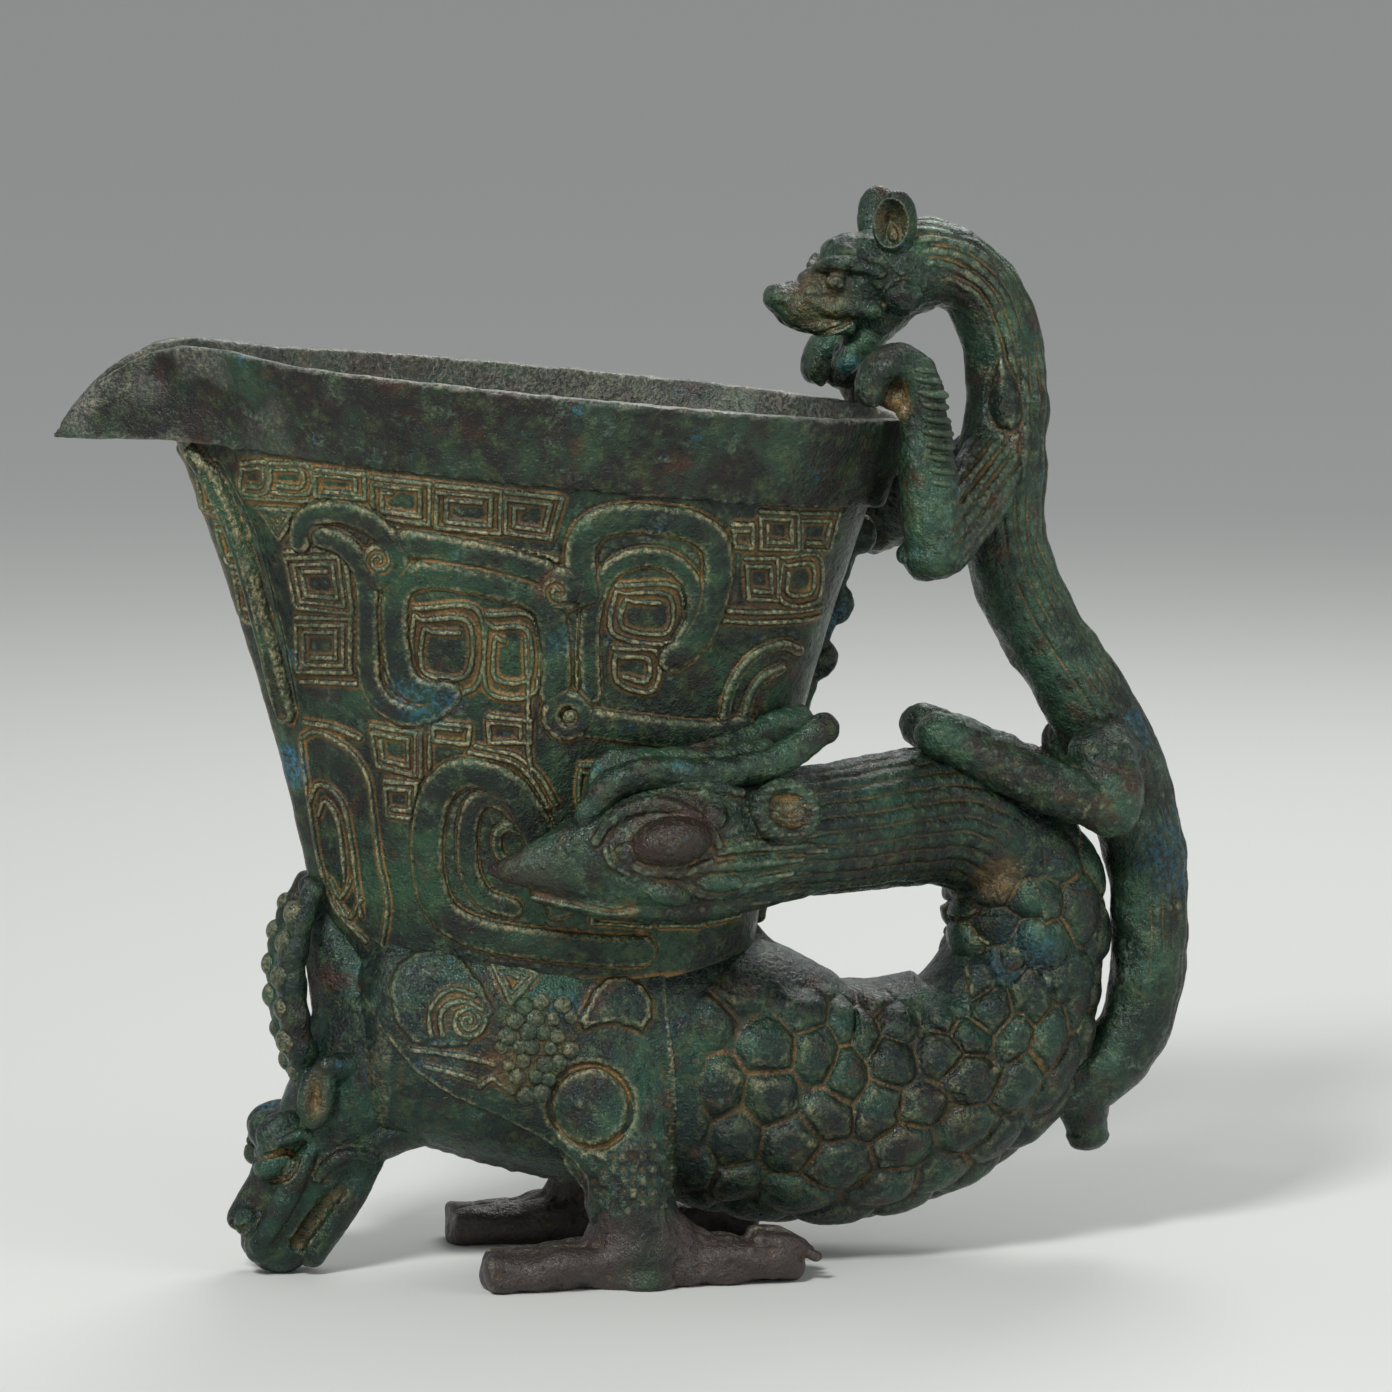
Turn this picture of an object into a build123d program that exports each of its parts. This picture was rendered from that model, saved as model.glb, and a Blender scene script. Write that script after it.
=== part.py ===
"""Cast bronze pouring cup on the back of a bird, with a climbing beast as its handle.

Millimetres, +Z up, origin on the floor under the middle of the vessel.
The beak of the spout points to -X, the handle stands at +X, and the bird's head lies on the -Y side.
"""

import os
from math import copysign, cos, radians, sin, sqrt

from build123d import *

# Cup
cup_length = 108.0
cup_width = 67.0
cup_middle = -13.0
cup_height = 85.8
cup_base_length = 62.0
cup_base_width = 32.0
cup_seat_depth = 5.5
cup_wall_thickness = 2.6
cup_floor_thickness = 3.0
cup_heel_height = 8.0
cup_heel_share = 0.72
length_flare = 1.45
width_flare = 1.2
rim_slope = 6.0

# Plain band round the mouth, and the beak of the spout
band_height = 12.9
band_proud = 0.8
spigot_height = 4.0
spigot_wall = 1.3
spout_tip = -81.6
spout_reach = 24.0
spout_width = 24.0
spout_wall = 2.0
spout_floor = 2.2
spout_crown = 0.4

# Bird: body, neck, head and legs
belly_height = 5.4
bird_length = 92.0
bird_middle = 12.0
bird_depth = 35.0
bird_width = 35.0
neck_root = 21.6
neck_tip = 17.6
neck_rise = 21.2
neck_sweep = 40.0
neck_swing = 20.0
bird_head_length = 42.4
bird_head_depth = 19.2
bird_head_width = 14.2
bird_head_offset = 6.4
beak_drop = 3.6
bird_eye = 6.2
crest_length = 33.0
crest_thickness = 5.4
crest_spread = 7.0
leg_spread = 17.5
leg_position = -2.5
thigh_width = 19.0
thigh_depth = 11.5
ankle_width = 12.6
ankle_height = 12.5
foot_length = 48.6
foot_width = 11.6
foot_height = 7.0
sole_trim = 1.0

# Beast head that carries the front of the vessel
front_reach = -52.0
front_neck = 25.0
front_muzzle = 12.4
front_eye = 5.4
horn_thickness = 5.4
horn_spread = 13.0
front_ear_length = 11.0
front_ear_width = 5.0

# Climbing beast that forms the handle
handle_root_height = 24.0
handle_root_overlap = 8.0
handle_rise = 119.0
handle_bow = 22.0
handle_thickness = 12.0
handle_head_length = 24.0
handle_head_depth = 12.6
handle_head_width = 12.8
handle_jaw_length = 14.0
handle_eye = 3.6
handle_ear_length = 10.0
handle_ear_width = 7.2
handle_ear_spread = 16.0
forearm_length = 24.0
forearm_thickness = 8.0
paw_curl = 4.4
paw_pad = 2.4
paw_share = 0.93
shank_thickness = 7.0
shank_bow = 1.5
knee_spread = 12.0
tail_length = 8.5
tail_thickness = 6.0

# Tenons and their sockets
tenon_large = 4.0
tenon_medium = 2.2
tenon_small = 1.1
joint_clearance = 0.1

# Heights that follow from the bird's back
back_height = belly_height + bird_depth
base_height = back_height + 5.1 - cup_seat_depth
rim_height = base_height + cup_height
band_foot = rim_height - band_height
heel_top = base_height + cup_heel_height

# Egg-shaped plan of the cup from front to back: share of the length, share of the half width
egg_plan = [
    (0.0, 0.0),
    (0.065, 0.30),
    (0.12, 0.48),
    (0.213, 0.70),
    (0.361, 0.91),
    (0.546, 1.0),
    (0.73, 0.955),
    (0.88, 0.77),
    (0.963, 0.47),
    (1.0, 0.0),
]


def cup_size(height):
    """Length and width of the cup's outside at a height above the floor"""
    share = max((height - base_height) / cup_height, 0.0)
    length = cup_base_length + (cup_length - cup_base_length) * share**length_flare
    width = cup_base_width + (cup_width - cup_base_width) * share**width_flare
    below = max(1 - (height - base_height) / cup_heel_height, 0.0)
    heel = cup_heel_share + (1 - cup_heel_share) * sqrt(1 - min(below, 1.0) ** 2)
    return length * heel, width * heel


def egg_point(height, along, across, grow=0.0):
    """Point of the egg-shaped plan at a height"""
    length, width = cup_size(height)
    x = cup_middle + (along - 0.5) * (length + 2 * grow)
    y = across * (width / 2 + grow)
    return x, y


def egg_section(height, grow=0.0):
    """Level section of the cup, made larger all round by grow"""
    half = [egg_point(height, along, side, grow) for along, side in egg_plan]
    with BuildSketch(Plane.XY.offset(height)) as section:
        with BuildLine():
            Spline(*half, tangents=[(0, 1), (0, -1)])
            mirror(about=Plane.XZ)
        make_face()
    return section.sketch


def egg_loft(bottom, top, grow=0.0, steps=5, mode=Mode.ADD):
    """Body between two heights that follows the flare of the cup"""
    heights = [bottom + (top - bottom) * step / steps for step in range(steps + 1)]
    loft([egg_section(height, grow) for height in heights], mode=mode)


def slope_plane(height):
    """Plane through a height on the Z axis that falls towards the handle as the rim does"""
    tilt = radians(rim_slope)
    return Plane(origin=(0, 0, height), x_dir=(cos(tilt), 0, -sin(tilt)), z_dir=(sin(tilt), 0, cos(tilt)))


def slope_drop(x):
    """How far the sloping rim has fallen at a place along the vessel"""
    return x * sin(radians(rim_slope)) / cos(radians(rim_slope))


def spine_planes(points):
    """Planes square to a spine, with their x axis kept as level with Y as the spine allows"""
    planes = []
    for index, point in enumerate(points):
        before = points[max(index - 1, 0)]
        after = points[min(index + 1, len(points) - 1)]
        along = (after - before).normalized()
        level = Vector(0, 1, 0) - along * along.Y
        planes.append(Plane(origin=point, x_dir=level, z_dir=along))
    return planes


oval_points = 12
oval_angles = [radians(360 * index / oval_points) for index in range(oval_points)]


def squared(value, squareness):
    """Sine or cosine drawn out towards a corner, 2 for a true oval and more for a squarer one"""
    return copysign(abs(value) ** (2 / squareness), value)


def oval_section(plane, half_width, half_depth, squareness=2.0):
    """Oval outline on a plane, always started from the same side"""
    outline = []
    for angle in oval_angles:
        x = half_width * squared(cos(angle), squareness)
        y = half_depth * squared(sin(angle), squareness)
        outline.append((x, y))
    with BuildSketch(plane) as section:
        with BuildLine():
            Spline(*outline, periodic=True)
        make_face()
    return section.sketch


# A rounded end: distance past the last section and size there, in shares of that section
dome_steps = [(0.5, 0.86), (0.85, 0.5)]


def limb(stations, round_start=False, round_end=False, planes=None, squareness=None):
    """Body lofted through ovals along a spine of (point, half width, half depth)"""
    stations = list(stations)
    if round_end:
        point, width, depth = stations[-1]
        ahead = (point - stations[-2][0]).normalized()
        reach = min(width, depth)
        stations += [(point + ahead * reach * far, width * size, depth * size) for far, size in dome_steps]
    if round_start:
        point, width, depth = stations[0]
        ahead = (point - stations[1][0]).normalized()
        reach = min(width, depth)
        dome = [(point + ahead * reach * far, width * size, depth * size) for far, size in dome_steps]
        stations = dome[::-1] + stations
    planes = planes or spine_planes([point for point, width, depth in stations])
    squareness = squareness or [2.0] * len(stations)
    ovals = []
    for plane, (point, width, depth), square in zip(planes, stations, squareness):
        ovals.append(oval_section(plane, width, depth, square))
    loft(ovals)


def pin(start, end, radius, mode=Mode.ADD):
    """Round tenon from one point to another"""
    with BuildSketch(Plane(origin=start, z_dir=end - start)) as section:
        Circle(radius)
    extrude(section.sketch, amount=(end - start).length, mode=mode)


def socket(start, end, radius):
    """Hole for a tenon, larger by the joint clearance"""
    past = end + (end - start).normalized() * joint_clearance
    pin(start, past, radius + joint_clearance, mode=Mode.SUBTRACT)


sides = (-1, 1)


def ball(point, radius, mode=Mode.ADD):
    """Round boss or eye"""
    with Locations(point):
        Sphere(radius, mode=mode)


def on_side(point, side):
    """A point of the near side, where Y is below 0, moved to the side asked for: -1 near, 1 far"""
    return Vector(point.X, -side * point.Y, point.Z)


def to_side(stations, side):
    """Stations of a near limb moved to the side asked for"""
    return [(on_side(point, side), width, depth) for point, width, depth in stations]


def ends_on_side(ends, side):
    """Ends of a near tenon moved to the side asked for"""
    return [on_side(end, side) for end in ends]


def blend_point(first, second, share):
    """Point between two others"""
    return first + (second - first) * share


# Spine of the bird: share of the length, share of the depth above the belly, half sizes as shares
bird_table = [
    (-0.5, 0.83, 0.42, 0.49),
    (-0.283, 0.76, 0.51, 0.545),
    (-0.022, 0.66, 0.51, 0.57),
    (0.207, 0.5, 0.471, 0.49),
    (0.418, 0.674, 0.4, 0.414),
]
bird_squareness = [2.7, 2.8, 2.7, 2.3, 2.1, 2.0]
body_stations = []
for along, up, wide, deep in bird_table:
    place = Vector(bird_middle + along * bird_length, 0, belly_height + up * bird_depth)
    body_stations.append((place, wide * bird_width, deep * bird_depth))
neck_joint = Vector(bird_middle + bird_length / 2, 0, back_height + 2.6)

# Curl of the neck from its root to the head: shares of the sweep, the swing and the rise
neck_table = [
    (0.0, 0.0, 0.0),
    (0.005, 0.0, 0.43),
    (0.11, 0.05, 0.81),
    (0.31, 0.175, 0.98),
    (0.55, 0.44, 1.0),
    (0.775, 0.78, 1.0),
    (1.0, 1.0, 1.0),
]
neck_stations = []
for step, (back, side, up) in enumerate(neck_table):
    place = neck_joint + Vector(-back * neck_sweep, -side * neck_swing, up * neck_rise)
    radius = (neck_root + (neck_tip - neck_root) * step / (len(neck_table) - 1)) / 2
    neck_stations.append((place, radius, radius))
head_joint = neck_stations[-1][0]

# Head of the bird: share of the length, of the sideways offset and of the drop, half sizes as shares
head_table = [
    (0.21, 0.78, -0.1, 0.52, 0.485),
    (0.425, 1.0, 0.0, 0.5, 0.5),
    (0.61, 1.0, 0.45, 0.39, 0.39),
    (0.825, 0.9, 0.75, 0.19, 0.19),
    (0.975, 0.62, 1.0, 0.05, 0.05),
]
head_stations = [neck_stations[-1]]
for along, side, down, wide, deep in head_table:
    shift = Vector(-along * bird_head_length, -side * bird_head_offset, -down * beak_drop)
    head_stations.append((head_joint + shift, wide * bird_head_width, deep * bird_head_depth))

# The spine runs on through both joints, so that the pieces meet on shared planes
bird_points = [station[0] for station in body_stations + neck_stations + head_stations[1:]]
bird_planes = spine_planes(bird_points)
neck_start = len(body_stations)
head_start = neck_start + len(neck_stations) - 1
neck_down = bird_planes[neck_start].z_dir * -1
head_back = bird_planes[head_start].z_dir * -1
neck_tenon = (neck_joint - neck_down * tenon_large, neck_joint + neck_down * 2 * tenon_large)
head_tenon = (head_joint - head_back * tenon_large, head_joint + head_back * 2 * tenon_large)

# Legs of the bird stand on both sides of the belly
leg_top = Vector(leg_position - 3, -leg_spread + 2.5, back_height - 1)
leg_tenon = (leg_top + Vector(0, -5, -14), leg_top + Vector(0, 7, -14))

# Front head: a thick neck from the bird's breast down to a muzzle on the floor
breast = body_stations[0][0]
muzzle = Vector(front_reach, 0, front_muzzle / 2)
front_table = [
    (-0.444, -0.112, 1.04, 1.04),
    (-0.028, 0.0, 1.0, 1.08),
    (0.361, 0.381, 0.8, 0.72),
    (0.711, 0.701, 0.62, 0.62),
    (0.956, 0.996, 0.5, 0.5),
    (1.044, 1.164, 0.4, 0.38),
]
front_stations = []
for out, down, wide, deep in front_table:
    place = breast + Vector((muzzle.X - breast.X) * out, 0, (muzzle.Z - breast.Z) * down)
    front_stations.append((place, wide * front_neck / 2, deep * front_neck / 2))
front_tenon = (breast + Vector(-tenon_large, 0, 0), breast + Vector(2 * tenon_large, 0, 0))
front_brow = blend_point(front_stations[2][0], front_stations[3][0], 0.5)

# Horns of the front head rise to the front of the cup
horn_root = front_stations[2][0] + Vector(-4.6, -horn_spread * 0.36, 3.2)
horn_top_height = base_height + 18.5
horn_top = Vector(egg_point(horn_top_height, 0.0, 0.0)[0] + 1.6, -horn_spread * 0.34, horn_top_height)
horn_rise = horn_top_height - horn_root.Z
horn_table = [
    (0.0, 0.0, 0.85, 0.0),
    (-3.0, 0.16, 1.0, 0.2),
    (-4.6, 0.36, 1.05, 0.5),
    (-4.8, 0.6, 1.0, 0.5),
    (-3.2, 0.82, 0.9, 0.35),
    (0.0, 1.0, 0.75, 0.0),
]
horn_stations = []
for out, up, size, splay in horn_table:
    base = blend_point(horn_root, horn_top, up)
    place = Vector(base.X + out, base.Y - splay * horn_spread * 0.2, horn_root.Z + up * horn_rise)
    horn_stations.append((place, size * horn_thickness / 2, size * horn_thickness / 2))
horn_tenon = (horn_stations[1][0], horn_stations[0][0] + Vector(2.6, 0.8, -3.2))

# Drooping ears of the front head
front_ear_root = front_stations[2][0] + Vector(-1.6, -front_neck * 0.36, 5.0)
front_ear_stations = [
    (front_ear_root + Vector(1.4, 1.2, 2.2), 0.28 * front_ear_width, 0.34 * front_ear_width),
    (front_ear_root + Vector(0, -0.6, 0), 0.36 * front_ear_width, 0.5 * front_ear_width),
    (front_ear_root + Vector(-1.8, -1.2, -0.45 * front_ear_length), 0.32 * front_ear_width, 0.5 * front_ear_width),
    (front_ear_root + Vector(-3.2, -1.0, -0.8 * front_ear_length), 0.2 * front_ear_width, 0.26 * front_ear_width),
]
front_ear_tenon = (front_ear_root + Vector(-0.6, -1.2, -0.6), front_ear_root + Vector(1.4, 4.6, -2.0))

# Handle: the beast's spine from the bird's tail, out, up and over to its head
handle_root = Vector(neck_joint.X + handle_root_overlap, 0, handle_root_height)
handle_table = [
    (-0.36, 0.01, 0.8),
    (0.0, 0.0, 0.82),
    (0.27, 0.034, 0.84),
    (0.43, 0.096, 0.88),
    (0.475, 0.175, 0.92),
    (0.445, 0.274, 0.97),
    (0.295, 0.372, 1.1),
    (0.036, 0.471, 1.04),
    (-0.236, 0.545, 1.0),
    (-0.441, 0.619, 1.0),
    (-0.541, 0.692, 1.02),
    (-0.532, 0.764, 1.06),
    (-0.505, 0.836, 0.97),
    (-0.545, 0.909, 0.93),
    (-0.714, 0.972, 0.95),
    (-0.982, 1.0, 1.0),
]
handle_stations = []
for out, up, size in handle_table:
    place = handle_root + Vector(out * handle_bow, 0, up * handle_rise)
    handle_stations.append((place, size * handle_thickness / 2, size * handle_thickness / 2))
handle_tip = handle_stations[-1][0]
hip = handle_stations[6][0]
shoulder = handle_stations[11][0]
handle_tenon = (handle_root + Vector(-1, 0, 0), handle_root + Vector(-12, 0, 0))

# Head of the handle beast: share of the length, drop in shares of the depth, half sizes as shares
beast_table = [
    (0.22, 0.0, 0.53, 0.55),
    (0.45, 0.10, 0.54, 0.52),
    (0.66, 0.24, 0.40, 0.38),
    (0.86, 0.36, 0.30, 0.29),
    (0.97, 0.42, 0.20, 0.19),
]
beast_stations = [handle_stations[-1]]
for along, down, wide, deep in beast_table:
    place = handle_tip + Vector(-along * handle_head_length, 0, -down * handle_head_depth)
    beast_stations.append((place, wide * handle_head_width, deep * handle_head_depth))
handle_points = [station[0] for station in handle_stations + beast_stations[1:]]
handle_planes = spine_planes(handle_points)
beast_start = len(handle_stations) - 1
beast_back = handle_planes[beast_start].z_dir * -1
beast_tenon = (handle_tip - beast_back * tenon_medium, handle_tip + beast_back * 3 * tenon_medium)
jaw_root = beast_stations[1][0] + Vector(-1.5, 0, -0.3 * handle_head_depth)
jaw_tip = jaw_root + Vector(-0.42, 0, -0.8) * handle_jaw_length
jaw_stations = [
    (jaw_root, 0.4 * handle_head_width, 0.3 * handle_head_depth),
    (blend_point(jaw_root, jaw_tip, 0.5), 0.3 * handle_head_width, 0.22 * handle_head_depth),
    (jaw_tip, 0.19 * handle_head_width, 0.15 * handle_head_depth),
]

# Ears of the handle beast
beast_ear_root = beast_stations[1][0] + Vector(-0.5, -0.34 * handle_head_width, 0.42 * handle_head_depth)
beast_ear_tip = Vector(beast_ear_root.X - 0.5, -handle_ear_spread / 2, beast_ear_root.Z + handle_ear_length * 0.75)
beast_ear_stations = [
    (beast_ear_root, 0.24 * handle_ear_width, 0.26 * handle_ear_width),
    (blend_point(beast_ear_root, beast_ear_tip, 0.5), 0.3 * handle_ear_width, 0.5 * handle_ear_width),
    (blend_point(beast_ear_root, beast_ear_tip, 0.85), 0.24 * handle_ear_width, 0.4 * handle_ear_width),
    (beast_ear_tip, 0.1 * handle_ear_width, 0.18 * handle_ear_width),
]
ear_hollow = blend_point(beast_ear_root, beast_ear_tip, 0.6) + Vector(-0.42, -0.3, 0) * handle_ear_width
beast_ear_tenon = (blend_point(beast_ear_root, beast_ear_tip, 0.3), beast_ear_root + Vector(0.5, 1.2, -3.0))

# Forelegs: shoulder to elbow, up to the wrist, and a paw that curls over the rim on a small pad
paw_x, paw_half = egg_point(rim_height, paw_share, 0.6, band_proud - cup_wall_thickness / 2)
paw = Vector(paw_x, -paw_half, rim_height - slope_drop(paw_x))
curl_middle = paw + Vector(0.8, 0, paw_curl + 1.2)
forearm_half = forearm_thickness / 2


def curl_point(angle):
    """Point of the paw's curl, from 0 at the wrist over the top to the claws"""
    return curl_middle + Vector(cos(radians(angle)), 0, sin(radians(angle))) * paw_curl


wrist = curl_point(0)
elbow = wrist + Vector(2.2, -0.5, -forearm_length)
upper_arm_stations = [
    (shoulder + Vector(-1, -2, 0), forearm_half * 1.15, forearm_half * 1.25),
    (blend_point(shoulder, elbow, 0.5), forearm_half * 1.1, forearm_half * 1.2),
    (elbow, forearm_half, forearm_half * 1.1),
]
forearm_stations = [
    (elbow, forearm_half * 1.05, forearm_half * 1.1),
    (blend_point(elbow, wrist, 0.35), forearm_half, forearm_half),
    (blend_point(elbow, wrist, 0.7), forearm_half * 0.95, forearm_half * 0.9),
]
curl_table = [(0, 0.9, 0.78), (50, 0.92, 0.74), (100, 0.96, 0.7), (150, 0.95, 0.66), (195, 0.85, 0.58)]
for turn, wide, deep in curl_table:
    forearm_stations.append((curl_point(turn), forearm_half * wide, forearm_half * deep))
foreleg_tenon = (blend_point(shoulder, elbow, 0.6), blend_point(shoulder, elbow, 0.1))

# Hind legs: haunch to knee, then forward to a foot on the bird's neck
perch = blend_point(neck_stations[3][0], neck_stations[4][0], 0.2)
perch_radius = neck_stations[3][1]
shank_half = shank_thickness / 2


def hind_leg(side):
    """Haunch and shank of the leg on one side, -1 near and 1 far"""
    knee = hip + Vector(-4.2, side * knee_spread, -2.6)
    lean = radians(28)
    foot_reach = perch_radius + shank_half * 0.7
    foot = perch + Vector(0, side * sin(lean) * foot_reach, cos(lean) * foot_reach)
    sole = perch + Vector(-1.5, side * sin(lean) * perch_radius * 0.9, cos(lean) * perch_radius * 0.9)
    limb(
        [
            (hip + Vector(-1, side * 2, 4), shank_half * 1.5, shank_half * 1.6),
            (blend_point(hip, knee, 0.55) + Vector(-1, 0, 3.5), shank_half * 1.5, shank_half * 1.6),
            (knee, shank_half * 1.15, shank_half * 1.2),
        ],
        round_end=True,
    )
    limb(
        [
            (knee + Vector(0.6, 0, -0.4), shank_half * 1.05, shank_half * 1.05),
            (blend_point(knee, foot, 0.45) + Vector(0, side * shank_bow, shank_bow), shank_half, shank_half),
            (blend_point(knee, foot, 0.8) + Vector(0, 0, 1.0), shank_half * 0.95, shank_half * 0.95),
            (foot + Vector(0, 0, 0.4), shank_half * 1.05, shank_half * 0.95),
            (foot + Vector(-2.2, 0, -1.2), shank_half * 0.85, shank_half * 0.7),
            (sole, shank_half * 0.5, shank_half * 0.4),
        ],
        round_start=True,
    )


def hind_tenon(side):
    """Ends of the tenon that holds a hind leg to the trunk"""
    return hip + Vector(-2, side * knee_spread * 0.7, 1.5), hip + Vector(-0.6, side * 1.4, 1.0)


# Short tail under the root of the handle
tail_root = handle_stations[1][0] + Vector(1.0, 0, 0)
tail_stations = [
    (tail_root + Vector(0, 0, -1.5), tail_thickness * 0.58, tail_thickness * 0.58),
    (tail_root + Vector(0.5, 0, -0.65 * tail_length), tail_thickness * 0.48, tail_thickness * 0.48),
    (tail_root + Vector(0.7, 0, -tail_length), tail_thickness * 0.5, tail_thickness * 0.5),
]
tail_tenon = (tail_root + Vector(0, 0, -5), tail_root + Vector(0, 0, 1.5))

# Crest plumes of the bird's head, near and far
crest_root = head_stations[3][0]


def crest_stations(side):
    """Stations of one plume, from the brow back along the head"""
    spread = Vector(0, side * crest_spread / 2, 0)
    thick = crest_thickness / 2
    return [
        (crest_root + spread * 0.4 + Vector(1.0, 0, 5.6), thick * 0.75, thick * 0.8),
        (crest_root + spread * 0.55 + Vector(0.15 * crest_length, 0, 11.0), thick * 0.9, thick),
        (crest_root + spread * 0.8 + Vector(0.42 * crest_length, 0.8, 13.6), thick * 0.9, thick),
        (crest_root + spread * 1.1 + Vector(0.7 * crest_length, 2.6, 14.0), thick * 0.85, thick * 0.95),
        (crest_root + spread * 1.35 + Vector(0.97 * crest_length, 5.2, 15.6), thick * 0.85, thick * 0.95),
    ]


def crest_tenon(side):
    """Ends of the tenon under a plume"""
    top = crest_stations(side)[1][0]
    return top, top + Vector(1.5, 0, -6.0)


os.makedirs("parts", exist_ok=True)


# Outside of the cup below the band, used to seat what touches it
with BuildPart() as cup_outside:
    egg_loft(base_height, heel_top, steps=2)
    egg_loft(heel_top, rim_height + band_height)
    split(bisect_by=slope_plane(band_foot), keep=Keep.BOTTOM)


def spigot_ring(clearance):
    """Outside of the thin ring that centres the band on the cup, larger by a clearance"""
    with BuildPart() as ring:
        grow = spigot_wall - cup_wall_thickness + clearance
        egg_loft(band_foot - band_height, rim_height + band_height, grow)
        split(bisect_by=slope_plane(band_foot + spigot_height + clearance), keep=Keep.BOTTOM)
    return ring.part


def spout_outline(height, inset):
    """Plan of the beak at a height: a pointed arch that runs back into the cup, inset by its wall"""
    half = spout_width / 2
    tip = (spout_tip + 1.6 * inset, 0)
    low = (spout_tip + 0.32 * spout_reach, 0.27 * half - 0.8 * inset)
    middle = (spout_tip + 0.66 * spout_reach, 0.58 * half - inset)
    root = (spout_tip + spout_reach, half - inset)
    back = (spout_tip + 1.5 * spout_reach, half - inset)
    with BuildSketch(Plane.XY.offset(height)) as plan:
        with BuildLine():
            Spline(tip, low, middle, root)
            Line(root, back)
            Line(back, (back[0], 0))
            mirror(about=Plane.XZ)
        make_face()
    return plan.sketch


# Side view of the band and beak: sloping rim, rising lips, pointed tip and level underside
band_back = cup_middle + cup_length
lip_start = spout_tip + 1.5 * spout_reach
lip_peak = spout_tip + 0.7 * spout_reach
beak_root = spout_tip + 0.64 * spout_reach
beak_foot = band_foot - slope_drop(beak_root)
lip_height = rim_height - slope_drop(lip_peak) + spout_crown


def cut_spout_channel():
    """Open the beak to the inside of the cup, above its floor"""
    channel = spout_outline(beak_foot + spout_floor, spout_wall)
    extrude(channel, amount=3 * band_height, mode=Mode.SUBTRACT)


with BuildPart() as cup_wall:
    add(cup_outside.part)
    add(spigot_ring(0))
    cavity_floor = base_height + cup_floor_thickness
    egg_loft(cavity_floor, heel_top, -cup_wall_thickness, steps=2, mode=Mode.SUBTRACT)
    egg_loft(heel_top, rim_height + band_height, -cup_wall_thickness, mode=Mode.SUBTRACT)
    cut_spout_channel()


with BuildPart() as rim_band:
    egg_loft(band_foot - band_height, rim_height + 2 * band_height, band_proud)
    extrude(spout_outline(band_foot, 0), amount=3 * band_height)
    with BuildSketch(Plane.XZ):
        with BuildLine():
            tip_low = (spout_tip, beak_foot)
            tip_high = (spout_tip, beak_foot + 0.6)
            lip = (lip_start, rim_height - slope_drop(lip_start))
            root = (beak_root, beak_foot)
            Line(tip_low, root)
            Line(root, (band_back, band_foot - slope_drop(band_back)))
            Line((band_back, band_foot - slope_drop(band_back)), (band_back, rim_height - slope_drop(band_back)))
            Line((band_back, rim_height - slope_drop(band_back)), lip)
            Spline(lip, (lip_peak, lip_height), tip_high, tangents=[(-1, 0.1), (-0.6, -1)])
            Line(tip_high, tip_low)
        make_face()
    extrude(amount=cup_width, both=True, mode=Mode.INTERSECT)
    egg_loft(band_foot - band_height, rim_height + 2 * band_height, -cup_wall_thickness, mode=Mode.SUBTRACT)
    cut_spout_channel()
    add(spigot_ring(joint_clearance), mode=Mode.SUBTRACT)

# Bird: the forms without their sockets come first, because the limbs are trimmed to them
with BuildPart() as body_form:
    limb(body_stations + neck_stations[:1], planes=bird_planes[: neck_start + 1], squareness=bird_squareness)
    add(cup_outside.part, mode=Mode.SUBTRACT)

with BuildPart() as bird_body:
    add(body_form.part)
    socket(*neck_tenon, tenon_large)
    socket(*front_tenon, tenon_large)
    socket(*handle_tenon, tenon_medium)
    for side in sides:
        socket(*ends_on_side(leg_tenon, side), tenon_medium)

with BuildPart() as bird_neck:
    limb(neck_stations, planes=bird_planes[neck_start : head_start + 1])
    add(cup_outside.part, mode=Mode.SUBTRACT)
    pin(*neck_tenon, tenon_large)
    socket(*head_tenon, tenon_large)

with BuildPart() as head_form:
    limb(head_stations, planes=bird_planes[head_start:])
    eye_place = blend_point(head_stations[2][0], head_stations[3][0], 0.12)
    for side in sides:
        ball(eye_place + Vector(0, side * (bird_head_width - bird_eye) / 2, bird_eye * 0.4), bird_eye / 2)
    add(cup_outside.part, mode=Mode.SUBTRACT)

with BuildPart() as bird_head:
    add(head_form.part)
    pin(*head_tenon, tenon_large)
    for side in sides:
        socket(*crest_tenon(side), tenon_small)

with BuildPart() as bird_crest_near:
    limb(crest_stations(-1), round_end=True)
    add(head_form.part, mode=Mode.SUBTRACT)
    pin(*crest_tenon(-1), tenon_small)

with BuildPart() as bird_crest_far:
    limb(crest_stations(1), round_end=True)
    add(head_form.part, mode=Mode.SUBTRACT)
    add(bird_crest_near.part, mode=Mode.SUBTRACT)
    add(bird_neck.part, mode=Mode.SUBTRACT)
    add(cup_outside.part, mode=Mode.SUBTRACT)
    pin(*crest_tenon(1), tenon_small)


def foot_section(x, side, half_width, height):
    """Section across a foot, with a rounded top and a sole left to be cut flat on the floor"""
    side_height = 0.5 * height
    left = (-half_width, side_height)
    right = (half_width, side_height)
    with BuildSketch(Plane(origin=(x, side * leg_spread, 0), x_dir=(0, 1, 0), z_dir=(1, 0, 0))) as section:
        with BuildLine():
            Polyline(left, (-half_width, -sole_trim), (half_width, -sole_trim), right)
            ThreePointArc(right, (0, height), left)
        make_face()
    return section.sketch


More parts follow.
